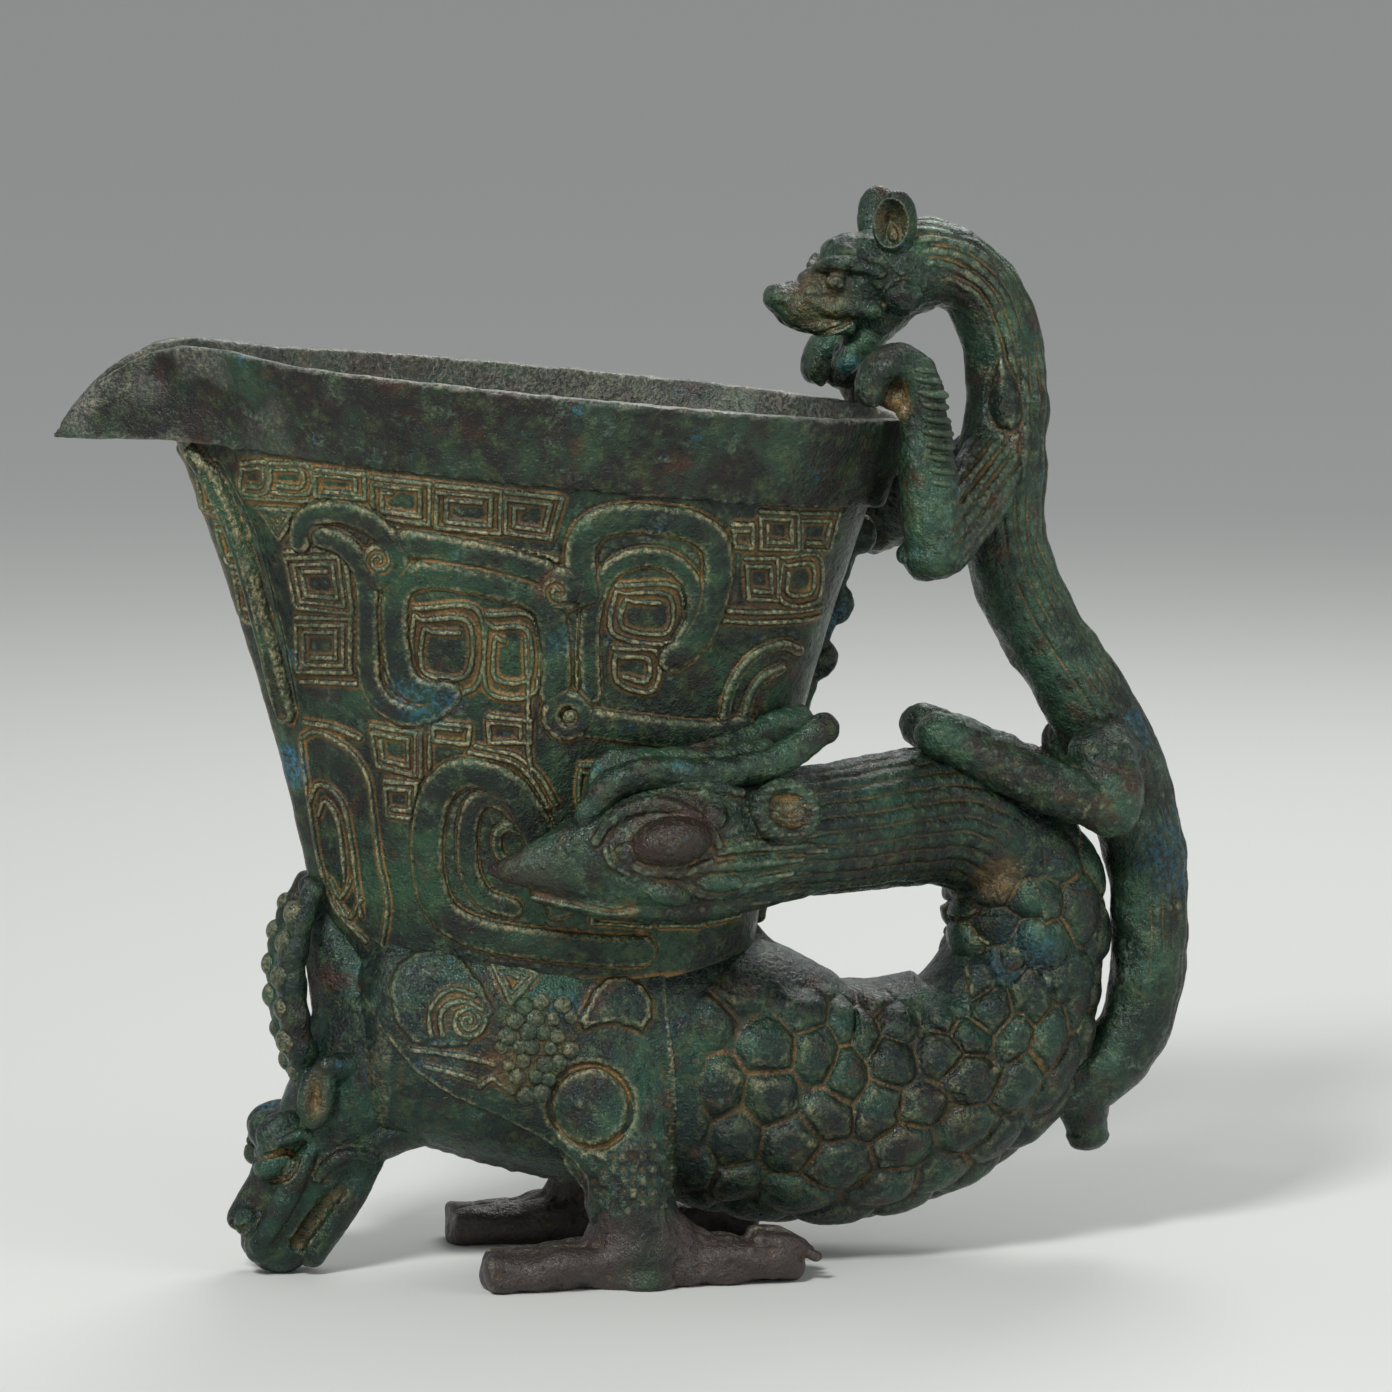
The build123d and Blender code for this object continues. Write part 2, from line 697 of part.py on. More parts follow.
# Foot from heel to toe: share of the length, of the half width and of the height
foot_table = [
    (-0.5, 0.8, 0.72),
    (-0.46, 0.95, 0.95),
    (-0.25, 0.92, 1.0),
    (0.0, 1.0, 1.35),
    (0.25, 0.9, 1.0),
    (0.45, 0.85, 0.95),
    (0.5, 0.7, 0.7),
]
foot_middle = 0.6

ankle = Vector(leg_position, -leg_spread, ankle_height)
instep = Vector(leg_position, -leg_spread, foot_height * 0.55)
shin_stations = [
    (leg_top, thigh_depth * 0.38, thigh_width * 0.42),
    (leg_top + Vector(-0.5, -1.0, -10), thigh_depth * 0.5, thigh_width * 0.5),
    (blend_point(leg_top, ankle, 0.72), thigh_depth * 0.47, thigh_width * 0.42),
    (ankle, thigh_depth * 0.45, ankle_width / 2),
    (instep, thigh_depth * 0.5, ankle_width * 0.68),
]


def bird_leg(side):
    """Foot, shin and thigh of one leg, seated against the bird's side"""
    with BuildPart() as leg:
        soles = []
        for along, wide, high in foot_table:
            x = foot_middle + along * foot_length
            soles.append(foot_section(x, side, wide * foot_width / 2, high * foot_height))
        loft(soles)
        split(bisect_by=Plane.XY, keep=Keep.TOP)
        limb(to_side(shin_stations, side))
        add(body_form.part, mode=Mode.SUBTRACT)
        add(cup_outside.part, mode=Mode.SUBTRACT)
        pin(*ends_on_side(leg_tenon, side), tenon_medium)
    return leg.part


with BuildPart() as front_form:
    limb(front_stations)
    for side in sides:
        ball(front_brow + Vector(-5.0, side * front_neck * 0.2, 4.4), front_eye)
        ball(front_brow + Vector(-6.6, side * front_neck * 0.27, 2.2), front_eye / 2)
    ball(front_stations[4][0] + Vector(-2.6, 0, 2.0), front_muzzle * 0.38)
    split(bisect_by=Plane.XY, keep=Keep.TOP)
    add(body_form.part, mode=Mode.SUBTRACT)
    add(cup_outside.part, mode=Mode.SUBTRACT)

with BuildPart() as front_beast_head:
    add(front_form.part)
    pin(*front_tenon, tenon_large)
    for side in sides:
        socket(*ends_on_side(horn_tenon, side), tenon_small)
        socket(*ends_on_side(front_ear_tenon, side), tenon_small)


def front_horn(side):
    """Horn from the front head up to the cup"""
    with BuildPart() as horn:
        limb(to_side(horn_stations, side))
        add(front_form.part, mode=Mode.SUBTRACT)
        add(cup_outside.part, mode=Mode.SUBTRACT)
        pin(*ends_on_side(horn_tenon, side), tenon_small)
    return horn.part


def front_ear(side):
    """Drooping ear on the side of the front head"""
    with BuildPart() as ear:
        limb(to_side(front_ear_stations, side), round_end=True)
        add(front_form.part, mode=Mode.SUBTRACT)
        pin(*ends_on_side(front_ear_tenon, side), tenon_small)
    return ear.part


with BuildPart() as trunk_form:
    limb(handle_stations, planes=handle_planes[: beast_start + 1])
    add(body_form.part, mode=Mode.SUBTRACT)

with BuildPart() as handle_body:
    add(trunk_form.part)
    pin(*handle_tenon, tenon_medium)
    socket(*beast_tenon, tenon_medium)
    socket(*tail_tenon, tenon_small)
    for side in sides:
        socket(*ends_on_side(foreleg_tenon, side), tenon_medium)
        socket(*hind_tenon(side), tenon_medium)

with BuildPart() as skull_form:
    limb(beast_stations, planes=handle_planes[beast_start:])
    limb(jaw_stations, round_end=True)
    for side in sides:
        ball(beast_stations[2][0] + Vector(-1.6, side * handle_head_width * 0.4, 1.6), handle_eye / 2)

with BuildPart() as handle_head:
    add(skull_form.part)
    pin(*beast_tenon, tenon_medium)
    for side in sides:
        socket(*ends_on_side(beast_ear_tenon, side), tenon_small)


def handle_ear(side):
    """Cupped ear on top of the handle beast's head"""
    with BuildPart() as ear:
        limb(to_side(beast_ear_stations, side))
        ball(on_side(ear_hollow, side), 0.36 * handle_ear_width, mode=Mode.SUBTRACT)
        add(skull_form.part, mode=Mode.SUBTRACT)
        pin(*ends_on_side(beast_ear_tenon, side), tenon_small)
    return ear.part


def handle_foreleg(side):
    """Upper arm, forearm and curled paw that holds the rim"""
    with BuildPart() as foreleg:
        limb(to_side(upper_arm_stations, side), round_end=True)
        limb(to_side(forearm_stations, side), round_start=True, round_end=True)
        pin(on_side(curl_middle, side), on_side(paw, side), paw_pad)
        add(trunk_form.part, mode=Mode.SUBTRACT)
        add(rim_band.part, mode=Mode.SUBTRACT)
        pin(*ends_on_side(foreleg_tenon, side), tenon_medium)
    return foreleg.part


def handle_hindleg(side):
    """Haunch and shank with a foot on the bird's neck"""
    with BuildPart() as hindleg:
        hind_leg(side)
        add(trunk_form.part, mode=Mode.SUBTRACT)
        add(bird_neck.part, mode=Mode.SUBTRACT)
        pin(*hind_tenon(side), tenon_medium)
    return hindleg.part


with BuildPart() as handle_tail:
    limb(tail_stations, round_end=True)
    add(trunk_form.part, mode=Mode.SUBTRACT)
    add(body_form.part, mode=Mode.SUBTRACT)
    pin(*tail_tenon, tenon_small)

pieces = {
    "cup_wall": cup_wall.part,
    "rim_band": rim_band.part,
    "bird_body": bird_body.part,
    "bird_neck": bird_neck.part,
    "bird_head": bird_head.part,
    "bird_crest_near": bird_crest_near.part,
    "bird_crest_far": bird_crest_far.part,
    "bird_leg_near": bird_leg(-1),
    "bird_leg_far": bird_leg(1),
    "front_beast_head": front_beast_head.part,
    "front_horn_near": front_horn(-1),
    "front_horn_far": front_horn(1),
    "front_ear_near": front_ear(-1),
    "front_ear_far": front_ear(1),
    "handle_body": handle_body.part,
    "handle_head": handle_head.part,
    "handle_ear_near": handle_ear(-1),
    "handle_ear_far": handle_ear(1),
    "handle_foreleg_near": handle_foreleg(-1),
    "handle_foreleg_far": handle_foreleg(1),
    "handle_hindleg_near": handle_hindleg(-1),
    "handle_hindleg_far": handle_hindleg(1),
    "handle_tail": handle_tail.part,
}
for label, solid in pieces.items():
    solid.label = label
    export_step(solid, f"parts/{label}.step")
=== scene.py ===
import math

import bpy
import numpy as np
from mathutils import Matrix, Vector, noise
from mathutils.bvhtree import BVHTree
from mathutils.kdtree import KDTree


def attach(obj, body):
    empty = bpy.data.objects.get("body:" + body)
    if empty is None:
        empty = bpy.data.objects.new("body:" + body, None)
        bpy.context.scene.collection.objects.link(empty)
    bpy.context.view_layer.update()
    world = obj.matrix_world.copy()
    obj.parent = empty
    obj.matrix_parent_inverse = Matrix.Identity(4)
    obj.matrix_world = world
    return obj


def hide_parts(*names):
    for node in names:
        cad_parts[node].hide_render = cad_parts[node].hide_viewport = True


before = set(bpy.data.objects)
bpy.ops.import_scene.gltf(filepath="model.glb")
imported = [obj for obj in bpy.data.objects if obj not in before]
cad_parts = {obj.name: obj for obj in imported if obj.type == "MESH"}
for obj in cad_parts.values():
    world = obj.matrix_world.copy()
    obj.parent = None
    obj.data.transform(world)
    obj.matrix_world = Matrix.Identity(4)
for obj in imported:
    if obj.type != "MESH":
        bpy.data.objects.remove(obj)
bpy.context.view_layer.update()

mm = 0.001
chance = np.random.default_rng(11)
coarse = 1.0

# The photo's camera, in millimetres and degrees; pixels are those of the square photo
view = {"azimuth": -10.0, "elevation": 7.0, "distance": 1071.4, "lens": 193.97, "sensor": 36.0,
        "target": (9.8, 0.0, 81.5), "photoSide": 1392, "pixelsPerMm": 7.0}
focal = view["lens"] / view["sensor"] * view["photoSide"]  # in pixels
middlePixel = view["photoSide"] / 2
sides = ((-1, "near"), (1, "far"))
farAway = 99.0


def unit(vector):
    vector = np.asarray(vector, float)
    return vector / np.maximum(np.linalg.norm(vector, axis=-1, keepdims=True), 1e-9)


def cameraAxes():
    turn, rise = math.radians(view["azimuth"]), math.radians(view["elevation"])
    back = np.array([math.sin(turn) * math.cos(rise), -math.cos(turn) * math.cos(rise), math.sin(rise)])
    right = np.array([math.cos(turn), math.sin(turn), 0.0])
    return np.array(view["target"]) + view["distance"] * back, right, np.cross(back, right), -back


def sightLine(pixel):
    eye, right, up, ahead = cameraAxes()
    return eye, unit(ahead * focal + right * (pixel[0] - middlePixel) - up * (pixel[1] - middlePixel))


def smoothPath(points, step):
    rows = np.array(points, float)
    ghost = np.vstack([2 * rows[0] - rows[1], rows, 2 * rows[-1] - rows[-2]])
    out = []
    for index in range(len(rows) - 1):
        a, b, c, d = ghost[index:index + 4]
        count = max(2, int(np.linalg.norm((c - b)[:3]) / step) + 1)
        t = np.linspace(0, 1, count, endpoint=False)[:, None]
        out.append(0.5 * (2 * b + (c - a) * t + (2 * a - 5 * b + 4 * c - d) * t**2
                          + (3 * b - a - 3 * c + d) * t**3))
    return np.vstack(out + [rows[-1:]])


def straightPath(points, step):
    rows = np.array(points, float)
    out = []
    for start, end in zip(rows[:-1], rows[1:]):
        count = max(1, int(np.linalg.norm(end - start) / step))
        out.append(start + (end - start) * np.linspace(0, 1, count, endpoint=False)[:, None])
    return np.vstack(out + [rows[-1:]])


def runLength(points):
    # millimetres along a row of points
    return np.concatenate([[0], np.cumsum(np.linalg.norm(np.diff(points, axis=0), axis=1))])


def gridFaces(rows, columns, closed):
    r, c = np.meshgrid(np.arange(rows - 1), np.arange(columns if closed else columns - 1), indexing="ij")
    n = (c + 1) % columns
    quads = np.stack([r * columns + c, r * columns + n, (r + 1) * columns + n, (r + 1) * columns + c], -1)
    return quads.reshape(-1, 4).tolist()


def smoothStep(low, high, values):
    t = np.clip((values - low) / (high - low), 0, 1)
    return t * t * (3 - 2 * t)


def bell(distance, width):
    return np.exp(-(distance / width) ** 2)


def distanceFrom(points, place):
    return np.linalg.norm(points - np.asarray(place), axis=1)


def tube(stations, step, around, startCap=1.0, endCap=1.0):
    # stations are x, y, z, half width, half depth and how square the section is
    rows = np.array([tuple(s) + (2.0,) * (6 - len(s)) for s in stations], float)
    rows = smoothPath(rows, step)
    centre = rows[:, :3]
    tangent = unit(np.gradient(centre, axis=0))
    half = rows[:, 3:5]
    along = runLength(centre)
    capTurns = np.radians(np.linspace(80, 10, 8))
    parts = []
    for end, sign, cap in ((0, -1, startCap), (-1, 1, endCap)):
        reach = cap * half[end].min()
        parts.append([(centre[end] + sign * tangent[end] * reach * math.sin(a), tangent[end],
                       half[end] * math.cos(a), along[end] + sign * reach * math.sin(a)) for a in capTurns])
    middle = [(centre[i], tangent[i], half[i], along[i]) for i in range(len(rows))]
    rings = parts[0] + middle + parts[1][::-1]
    ends = len(capTurns)
    squares = np.concatenate([np.full(ends, rows[0, 5]), rows[:, 5], np.full(ends, rows[-1, 5])])
    turn = np.linspace(0, 2 * math.pi, around, endpoint=False)
    points, frames = [], []
    across = np.array((0.0, 1.0, 0.0))
    for (place, ahead, size, distance), square in zip(rings, squares):
        side = unit(across - ahead * np.dot(across, ahead))
        up = np.cross(ahead, side)
        power = 2 / square
        x = np.sign(np.cos(turn)) * np.abs(np.cos(turn)) ** power * size[0]
        z = np.sign(np.sin(turn)) * np.abs(np.sin(turn)) ** power * size[1]
        points.append(place + np.outer(x, side) + np.outer(z, up))
        frames.append((place, side, up, distance))
    tips = [centre[0] - tangent[0] * startCap * half[0].min(),
            centre[-1] + tangent[-1] * endCap * half[-1].min()]
    grid = np.vstack(points)
    faces = gridFaces(len(rings), around, True)
    first, last = len(grid), len(grid) + 1
    base = (len(rings) - 1) * around
    faces += [[(c + 1) % around, c, first] for c in range(around)]
    faces += [[base + c, base + (c + 1) % around, last] for c in range(around)]
    return {"points": np.vstack([grid, tips]), "faces": faces, "frames": frames}


def ball(centre, radii, axis=(0, 0, 1), rounds=20):
    # the third radius lies along the axis
    radii = np.broadcast_to(np.asarray(radii, float), (3,))
    main = unit(axis)
    side = unit(np.cross(main, (1, 0, 0) if abs(main[0]) < 0.8 else (0, 1, 0)))
    other = np.cross(main, side)
    tilt = np.radians(np.linspace(-90, 90, rounds + 2)[1:-1])
    turn = np.linspace(0, 2 * math.pi, 2 * rounds, endpoint=False)
    t, s = np.meshgrid(tilt, turn, indexing="ij")
    local = np.stack([np.cos(t) * np.cos(s) * radii[0], np.cos(t) * np.sin(s) * radii[1],
                      np.sin(t) * radii[2]], -1).reshape(-1, 3)
    local = np.vstack([local, [(0, 0, -radii[2]), (0, 0, radii[2])]])
    count = 2 * rounds
    faces = gridFaces(rounds, count, True)
    low, high = rounds * count, rounds * count + 1
    faces += [[(c + 1) % count, c, low] for c in range(count)]
    faces += [[(rounds - 1) * count + c, (rounds - 1) * count + (c + 1) % count, high] for c in range(count)]
    return {"points": np.asarray(centre) + local @ np.array([side, other, main]), "faces": faces}


def flipped(part):
    # the same form on the far side
    return {"points": part["points"] * (1, -1, 1), "faces": [face[::-1] for face in part["faces"]]}


def onSide(parts, side):
    return parts if side < 0 else [flipped(part) for part in parts]


def mirrored(points):
    return np.vstack([points, points * (1, -1, 1)])


def makePiece(name, parts):
    points, faces, start = [], [], 0
    for part in parts:
        points.append(part["points"])
        faces += [[i + start for i in face] for face in part["faces"]]
        start += len(part["points"])
    mesh = bpy.data.meshes.new(name)
    mesh.from_pydata((np.vstack(points) * mm).tolist(), [], faces)
    mesh.update()
    # faces point outwards where the volume is above 0
    mesh.calc_loop_triangles()
    corners = np.zeros(len(mesh.loop_triangles) * 3, np.int32)
    mesh.loop_triangles.foreach_get("vertices", corners)
    a, b, c = np.vstack(points)[corners.reshape(-1, 3)].transpose(1, 0, 2)
    if np.einsum("ij,ij->i", a, np.cross(b, c)).sum() < 0:
        mesh.flip_normals()
    piece = bpy.data.objects.new(name, mesh)
    bpy.context.scene.collection.objects.link(piece)
    return piece


def settle(piece):
    # turns the modifiers of a piece into its mesh
    graph = bpy.context.evaluated_depsgraph_get()
    fresh = bpy.data.meshes.new_from_object(piece.evaluated_get(graph))
    old = piece.data
    piece.modifiers.clear()
    piece.data = fresh
    name = old.name
    bpy.data.meshes.remove(old)
    fresh.name = name


def sculpt(name, parts, voxel, softness):
    # one closed skin over several forms, with its joins softened; a piece's "skin" holds both numbers
    piece = makePiece(name, parts)
    skin = piece.modifiers.new("skin", "REMESH")
    skin.mode = "VOXEL"
    skin.voxel_size = voxel * coarse * mm
    soften = piece.modifiers.new("soften", "SMOOTH")
    soften.factor = 0.5
    soften.iterations = softness
    settle(piece)
    return piece


def meshPoints(piece):
    points = np.zeros(len(piece.data.vertices) * 3, np.float32)
    normals = np.zeros_like(points)
    piece.data.vertices.foreach_get("co", points)
    piece.data.vertices.foreach_get("normal", normals)
    return points.reshape(-1, 3).astype(float) / mm, normals.reshape(-1, 3).astype(float)


def placePoints(piece, points):
    points[:, 2] = np.maximum(points[:, 2], 0.0)  # nothing dips under the floor
    piece.data.vertices.foreach_set("co", (points * mm).astype(np.float32).ravel())
    piece.data.update()


def raiseBy(piece, heights):
    points, normals = meshPoints(piece)
    placePoints(piece, points + normals * heights[:, None])


def setAttribute(piece, name, values):
    layer = piece.data.attributes.get(name) or piece.data.attributes.new(name, "FLOAT", "POINT")
    layer.data.foreach_set("value", np.asarray(values, np.float32))


def edgeBlur(piece, values, rounds):
    ends = np.zeros(len(piece.data.edges) * 2, np.int32)
    piece.data.edges.foreach_get("vertices", ends)
    a, b = ends.reshape(-1, 2).T
    count = len(piece.data.vertices)
    share = np.bincount(a, minlength=count) + np.bincount(b, minlength=count)
    for _ in range(rounds):
        total = np.stack([np.bincount(a, values[b, k], count) + np.bincount(b, values[a, k], count)
                          for k in range(values.shape[1])], -1)
        values = 0.5 * values + 0.5 * total / np.maximum(share, 1)[:, None]
    return values


def unevenness(points, size):
    return np.array([noise.noise(Vector(p)) for p in points / size])


def markRelief(piece, depth, rounds, waver=0.16):
    # a hand-cast unevenness first; relief is above 0 on ridges and below 0 in hollows
    # a piece's "relief" holds the depth, the rounds and, where it isn't the usual one, the waver
    points, _ = meshPoints(piece)
    raiseBy(piece, waver * unevenness(points, 3.1) + 0.5 * waver * unevenness(points, 1.1))
    points, normals = meshPoints(piece)
    offset = ((points - edgeBlur(piece, points, rounds)) * normals).sum(1)[:, None]
    offset = offset - edgeBlur(piece, offset, 4 * rounds)
    values = np.clip(offset[:, 0] / depth, -1, 1)
    setAttribute(piece, "relief", values)
    return values


def surfaceOf(piece):
    points, _ = meshPoints(piece)
    return BVHTree.FromPolygons(points.tolist(), [tuple(p.vertices) for p in piece.data.polygons])


def seenPoint(surfaces, pixel):
    eye, ahead = sightLine(pixel)
    best = None
    for surface in surfaces:
        place, normal, _, distance = surface.ray_cast(Vector(eye), Vector(ahead))
        if place is not None and (best is None or distance < best[2]):
            best = (np.array(place), np.array(normal), distance)
    return best


def bothSpots(surfaces, pixel):
    # the seen point and its mirror image
    return mirrored(seenPoint(surfaces, pixel)[0][None])


def spotAt(pixel, depth):
    # the point behind a pixel that lies at the given y
    eye, ahead = sightLine(pixel)
    return eye + ahead * (depth - eye[1]) / ahead[1]


def stationsAt(pixels, depths, halves):
    # stations of a tube from pixels, their depths and half sizes
    return [tuple(spotAt(pixel, depth)) + tuple(half) for pixel, depth, half in zip(pixels, depths, halves)]


def photoPixels(points):
    # where points of the near side, or their mirror images, show in the photo
    eye, right, up, ahead = cameraAxes()
    offset = np.stack([points[:, 0], -np.abs(points[:, 1]), points[:, 2]], -1) - eye
    depth = offset @ ahead
    across, above = focal * (offset @ right) / depth, focal * (offset @ up) / depth
    return np.stack([middlePixel + across, middlePixel - above], -1)


def outlineDistance(pixels, outline):
    # millimetres to an outline drawn in pixels, above 0 inside it
    corners = np.array(outline, float)
    best = np.full(len(pixels), 1e9)
    inside = np.zeros(len(pixels), bool)
    for a, b in zip(corners, np.roll(corners, -1, 0)):
        share = np.clip(((pixels - a) @ (b - a)) / ((b - a) @ (b - a)), 0, 1)
        best = np.minimum(best, np.linalg.norm(pixels - a - share[:, None] * (b - a), axis=1))
        crossing = (a[1] > pixels[:, 1]) != (b[1] > pixels[:, 1])
        fall = b[1] - a[1] if b[1] != a[1] else 1e-9
        level = (b[0] - a[0]) * (pixels[:, 1] - a[1]) / fall + a[0]
        inside ^= crossing & (pixels[:, 0] < level)
    return np.where(inside, best, -best) / view["pixelsPerMm"]


def drawnLine(surfaces, pixels):
    hits = [seenPoint(surfaces, p) for p in pixels]
    return np.array([h[0] for h in hits if h is not None])


def distanceTo(points, marks, reach):
    far = np.full(len(points), farAway)
    if len(marks) == 0:
        return far
    tree = KDTree(len(marks))
    for index, mark in enumerate(marks):
        tree.insert(mark, index)
    tree.balance()
    low, high = marks.min(0) - reach, marks.max(0) + reach
    near = np.nonzero(((points > low) & (points < high)).all(1))[0]
    far[near] = [tree.find(p)[2] for p in points[near]]
    return far


def groove(values, power=1.0):
    # narrow dark lines between round ridges
    return np.abs(np.cos(values / 2)) ** power


def lineHeights(points, marks, half, rise):
    distance = distanceTo(points, marks, half * 2)
    return rise * np.clip(np.cos(np.clip(distance / half, 0, 2) * math.pi / 2), 0, 1)


def spineCoordinates(points, frames):
    # millimetres along a spine and the turn round it, for each point
    places = np.array([f[0] for f in frames])
    best = np.concatenate([np.argmin(((chunk[:, None] - places[None]) ** 2).sum(-1), 1)
                           for chunk in np.array_split(points, max(1, len(points) // 4000))])
    side = np.array([f[1] for f in frames])[best]
    up = np.array([f[2] for f in frames])[best]
    offset = points - places[best]
    turn = np.arctan2((offset * up).sum(1), (offset * side).sum(1))
    return np.array([f[3] for f in frames])[best], turn


def finishPiece(piece, nodes, slot, material, stains=(), brown=0.0, earth=0.0, most=130000):
    points, _ = meshPoints(piece)
    for name, start in (("earth", earth), ("blue", 0.0), ("brown", brown)):
        amount = np.zeros(len(points)) + start
        for kind, place, radius, strength in stains:
            if kind == name:
                fading = 1 - smoothStep(0.45 * radius, radius, distanceFrom(points, place))
                amount = np.maximum(amount, strength * fading)
        setAttribute(piece, name, amount)
    total = sum(len(p.vertices) - 2 for p in piece.data.polygons)
    if total > most:
        thin = piece.modifiers.new("thin", "DECIMATE")
        thin.ratio = most / total
        settle(piece)
    piece.data.polygons.foreach_set("use_smooth", np.ones(len(piece.data.polygons), bool))
    piece.data.materials.clear()
    piece.data.materials.append(material)
    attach(piece, "root")
    if nodes:
        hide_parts(*nodes)


def dress(piece, settings, nodes, slot, material, stains=(), **marks):
    markRelief(piece, *settings["relief"])
    finishPiece(piece, nodes, slot, material, stains, **marks)


def stainsOn(stains, side):
    # stains are kind, place, radius and strength, and are given for the near side
    return [(kind, np.array(place) * (1, -side, 1), radius, strength)
            for kind, place, radius, strength in stains]


def pairOf(stains):
    return stainsOn(stains, -1) + stainsOn(stains, 1)


def addNode(tree, kind, inputs=None, **settings):
    node = tree.nodes.new(kind)
    for name, value in settings.items():
        setattr(node, name, value)
    for name, value in (inputs or {}).items():
        if isinstance(value, bpy.types.NodeSocket):
            tree.links.new(value, node.inputs[name])
        else:
            node.inputs[name].default_value = value
    return node


def colour(code):
    parts = [int(code[i:i + 2], 16) / 255 for i in (1, 3, 5)]
    return tuple(p / 12.92 if p <= 0.04045 else ((p + 0.055) / 1.055) ** 2.4 for p in parts) + (1.0,)


# Patina: layers of noise over dark bronze, with earth in hollows, painted shade darkening the hollows, and
# ridges paled by rubbing and by a painted highlight
layers = {
    "broad": {"size": 13.0, "detail": 4, "from": 0.47, "to": 0.62},
    "patch": {"size": 7.0, "detail": 6, "from": 0.52, "to": 0.64},
    "bloom": {"size": 4.2, "detail": 7, "from": 0.55, "to": 0.70},
    "spot": {"size": 5.5, "detail": 5, "from": 0.64, "to": 0.72},
    "worn": {"size": 9.0, "detail": 3, "from": 0.3, "to": 0.52},
    "rust": {"size": 8.0, "detail": 6, "from": 0.58, "to": 0.68},
    "moss": {"size": 2.6, "detail": 8, "from": 0.50, "to": 0.64},
    "pit": {"size": 1.4, "detail": 4, "from": 0.58, "to": 0.70},
    "speck": {"size": 0.7, "detail": 3, "from": 0.42, "to": 0.66},
    "grit": {"size": 0.28, "detail": 2, "from": 0.35, "to": 0.75},
}


def patina(name, look):
    material = bpy.data.materials.new(name)
    material.use_nodes = True
    tree = material.node_tree
    tree.nodes.clear()
    place = addNode(tree, "ShaderNodeTexCoord").outputs["Object"]
    masks = {}
    for index, (key, layer) in enumerate(layers.items()):
        shift = addNode(tree, "ShaderNodeVectorMath", {0: place, 1: (0.37 * index, look["seed"] * 0.1, 0.0)})
        cloud = addNode(tree, "ShaderNodeTexNoise", {
            "Vector": shift.outputs[0], "Scale": 1 / (layer["size"] * mm), "Detail": layer["detail"],
            "Roughness": 0.62})
        masks[key] = addNode(tree, "ShaderNodeMapRange", {
            "Value": cloud.outputs[0], "From Min": layer["from"], "From Max": layer["to"]}).outputs[0]
    for key in ("relief", "earth", "blue", "brown"):
        masks[key + "Mark"] = addNode(tree, "ShaderNodeAttribute", attribute_name=key).outputs["Fac"]
    for key, source, span in (
        ("ridge", "reliefMark", {"From Min": 0.12, "From Max": 0.75}),
        ("hollow", "reliefMark", {"From Min": -0.12, "From Max": -0.7}),
        ("crumbs", "speck", {"To Min": 0.35, "To Max": 1.0}),
        ("settled", "broad", {"To Min": 0.4, "To Max": 1.0}),
        ("grain", "grit", {"To Min": 0.72, "To Max": 1.25}),
        ("rough", "speck", {"To Min": look["rough"] - 0.1, "To Max": look["rough"] + 0.12}),
    ):
        masks[key] = addNode(tree, "ShaderNodeMapRange", {"Value": masks[source], **span}).outputs[0]
    for key, first, second in (
        ("wornSpeck", "worn", "speck"), ("ridgeRub", "ridge", "wornSpeck"),
        ("earthGrain", "earthMark", "crumbs"), ("hollowEarth", "hollow", "settled"),
        ("spotGrain", "spot", "speck"), ("blueGrain", "blueMark", "speck"),
        ("bloomGrain", "bloom", "speck"), ("mossGrain", "moss", "crumbs"),
    ):
        both = {0: masks[first], 1: masks[second]}
        masks[key] = addNode(tree, "ShaderNodeMath", both, operation="MULTIPLY").outputs[0]
    shade = colour(look["base"])
    for key, tint, strength in (
        ("broad", "green", look["greenShare"]), ("patch", "brown", look["brownShare"]),
        ("rust", "rust", look["rustShare"]), ("mossGrain", "moss", look["mossShare"]),
        ("brownMark", "foot", 0.9), ("pit", "deep", look["pitShare"]),
        ("bloomGrain", "pale", look["paleShare"]), ("spotGrain", "blue", look["blueShare"]),
        # hollows darken towards the near-black deep colour: painted shade
        ("hollow", "deep", 0.7), ("hollowEarth", "earth", look["earthShare"]),
        # ridges pale towards the ridge colour: partly wear, partly painted highlight; the rub is wear
        ("ridge", "ridge", look["ridgeShare"]), ("ridgeRub", "rub", look["rubShare"]),
        ("blueGrain", "blue", 0.9), ("earthGrain", "earth", 0.9),
    ):
        share = {0: masks[key], 1: strength}
        amount = addNode(tree, "ShaderNodeMath", share, operation="MULTIPLY").outputs[0]
        paints = {0: amount, 6: shade, 7: colour(look[tint])}
        shade = addNode(tree, "ShaderNodeMix", paints, data_type="RGBA").outputs[2]
    paints = {0: 1.0, 6: shade, 7: masks["grain"]}
    shade = addNode(tree, "ShaderNodeMix", paints, data_type="RGBA", blend_type="MULTIPLY").outputs[2]
    bump = None
    for key, strength, depth in (("bloom", 0.5, 0.16), ("pit", 0.6, 0.2), ("speck", 0.6, 0.18),
                                 ("grit", 0.6, 0.08)):
        inputs = {"Height": masks[key], "Strength": strength, "Distance": depth * mm}
        if bump:
            inputs["Normal"] = bump.outputs[0]
        bump = addNode(tree, "ShaderNodeBump", inputs, invert=key == "pit")
    surface = addNode(tree, "ShaderNodeBsdfPrincipled", {
        "Base Color": shade, "Roughness": masks["rough"], "Metallic": look["metal"],
        "Normal": bump.outputs[0]})
    addNode(tree, "ShaderNodeOutputMaterial", {"Surface": surface.outputs[0]})
    return material
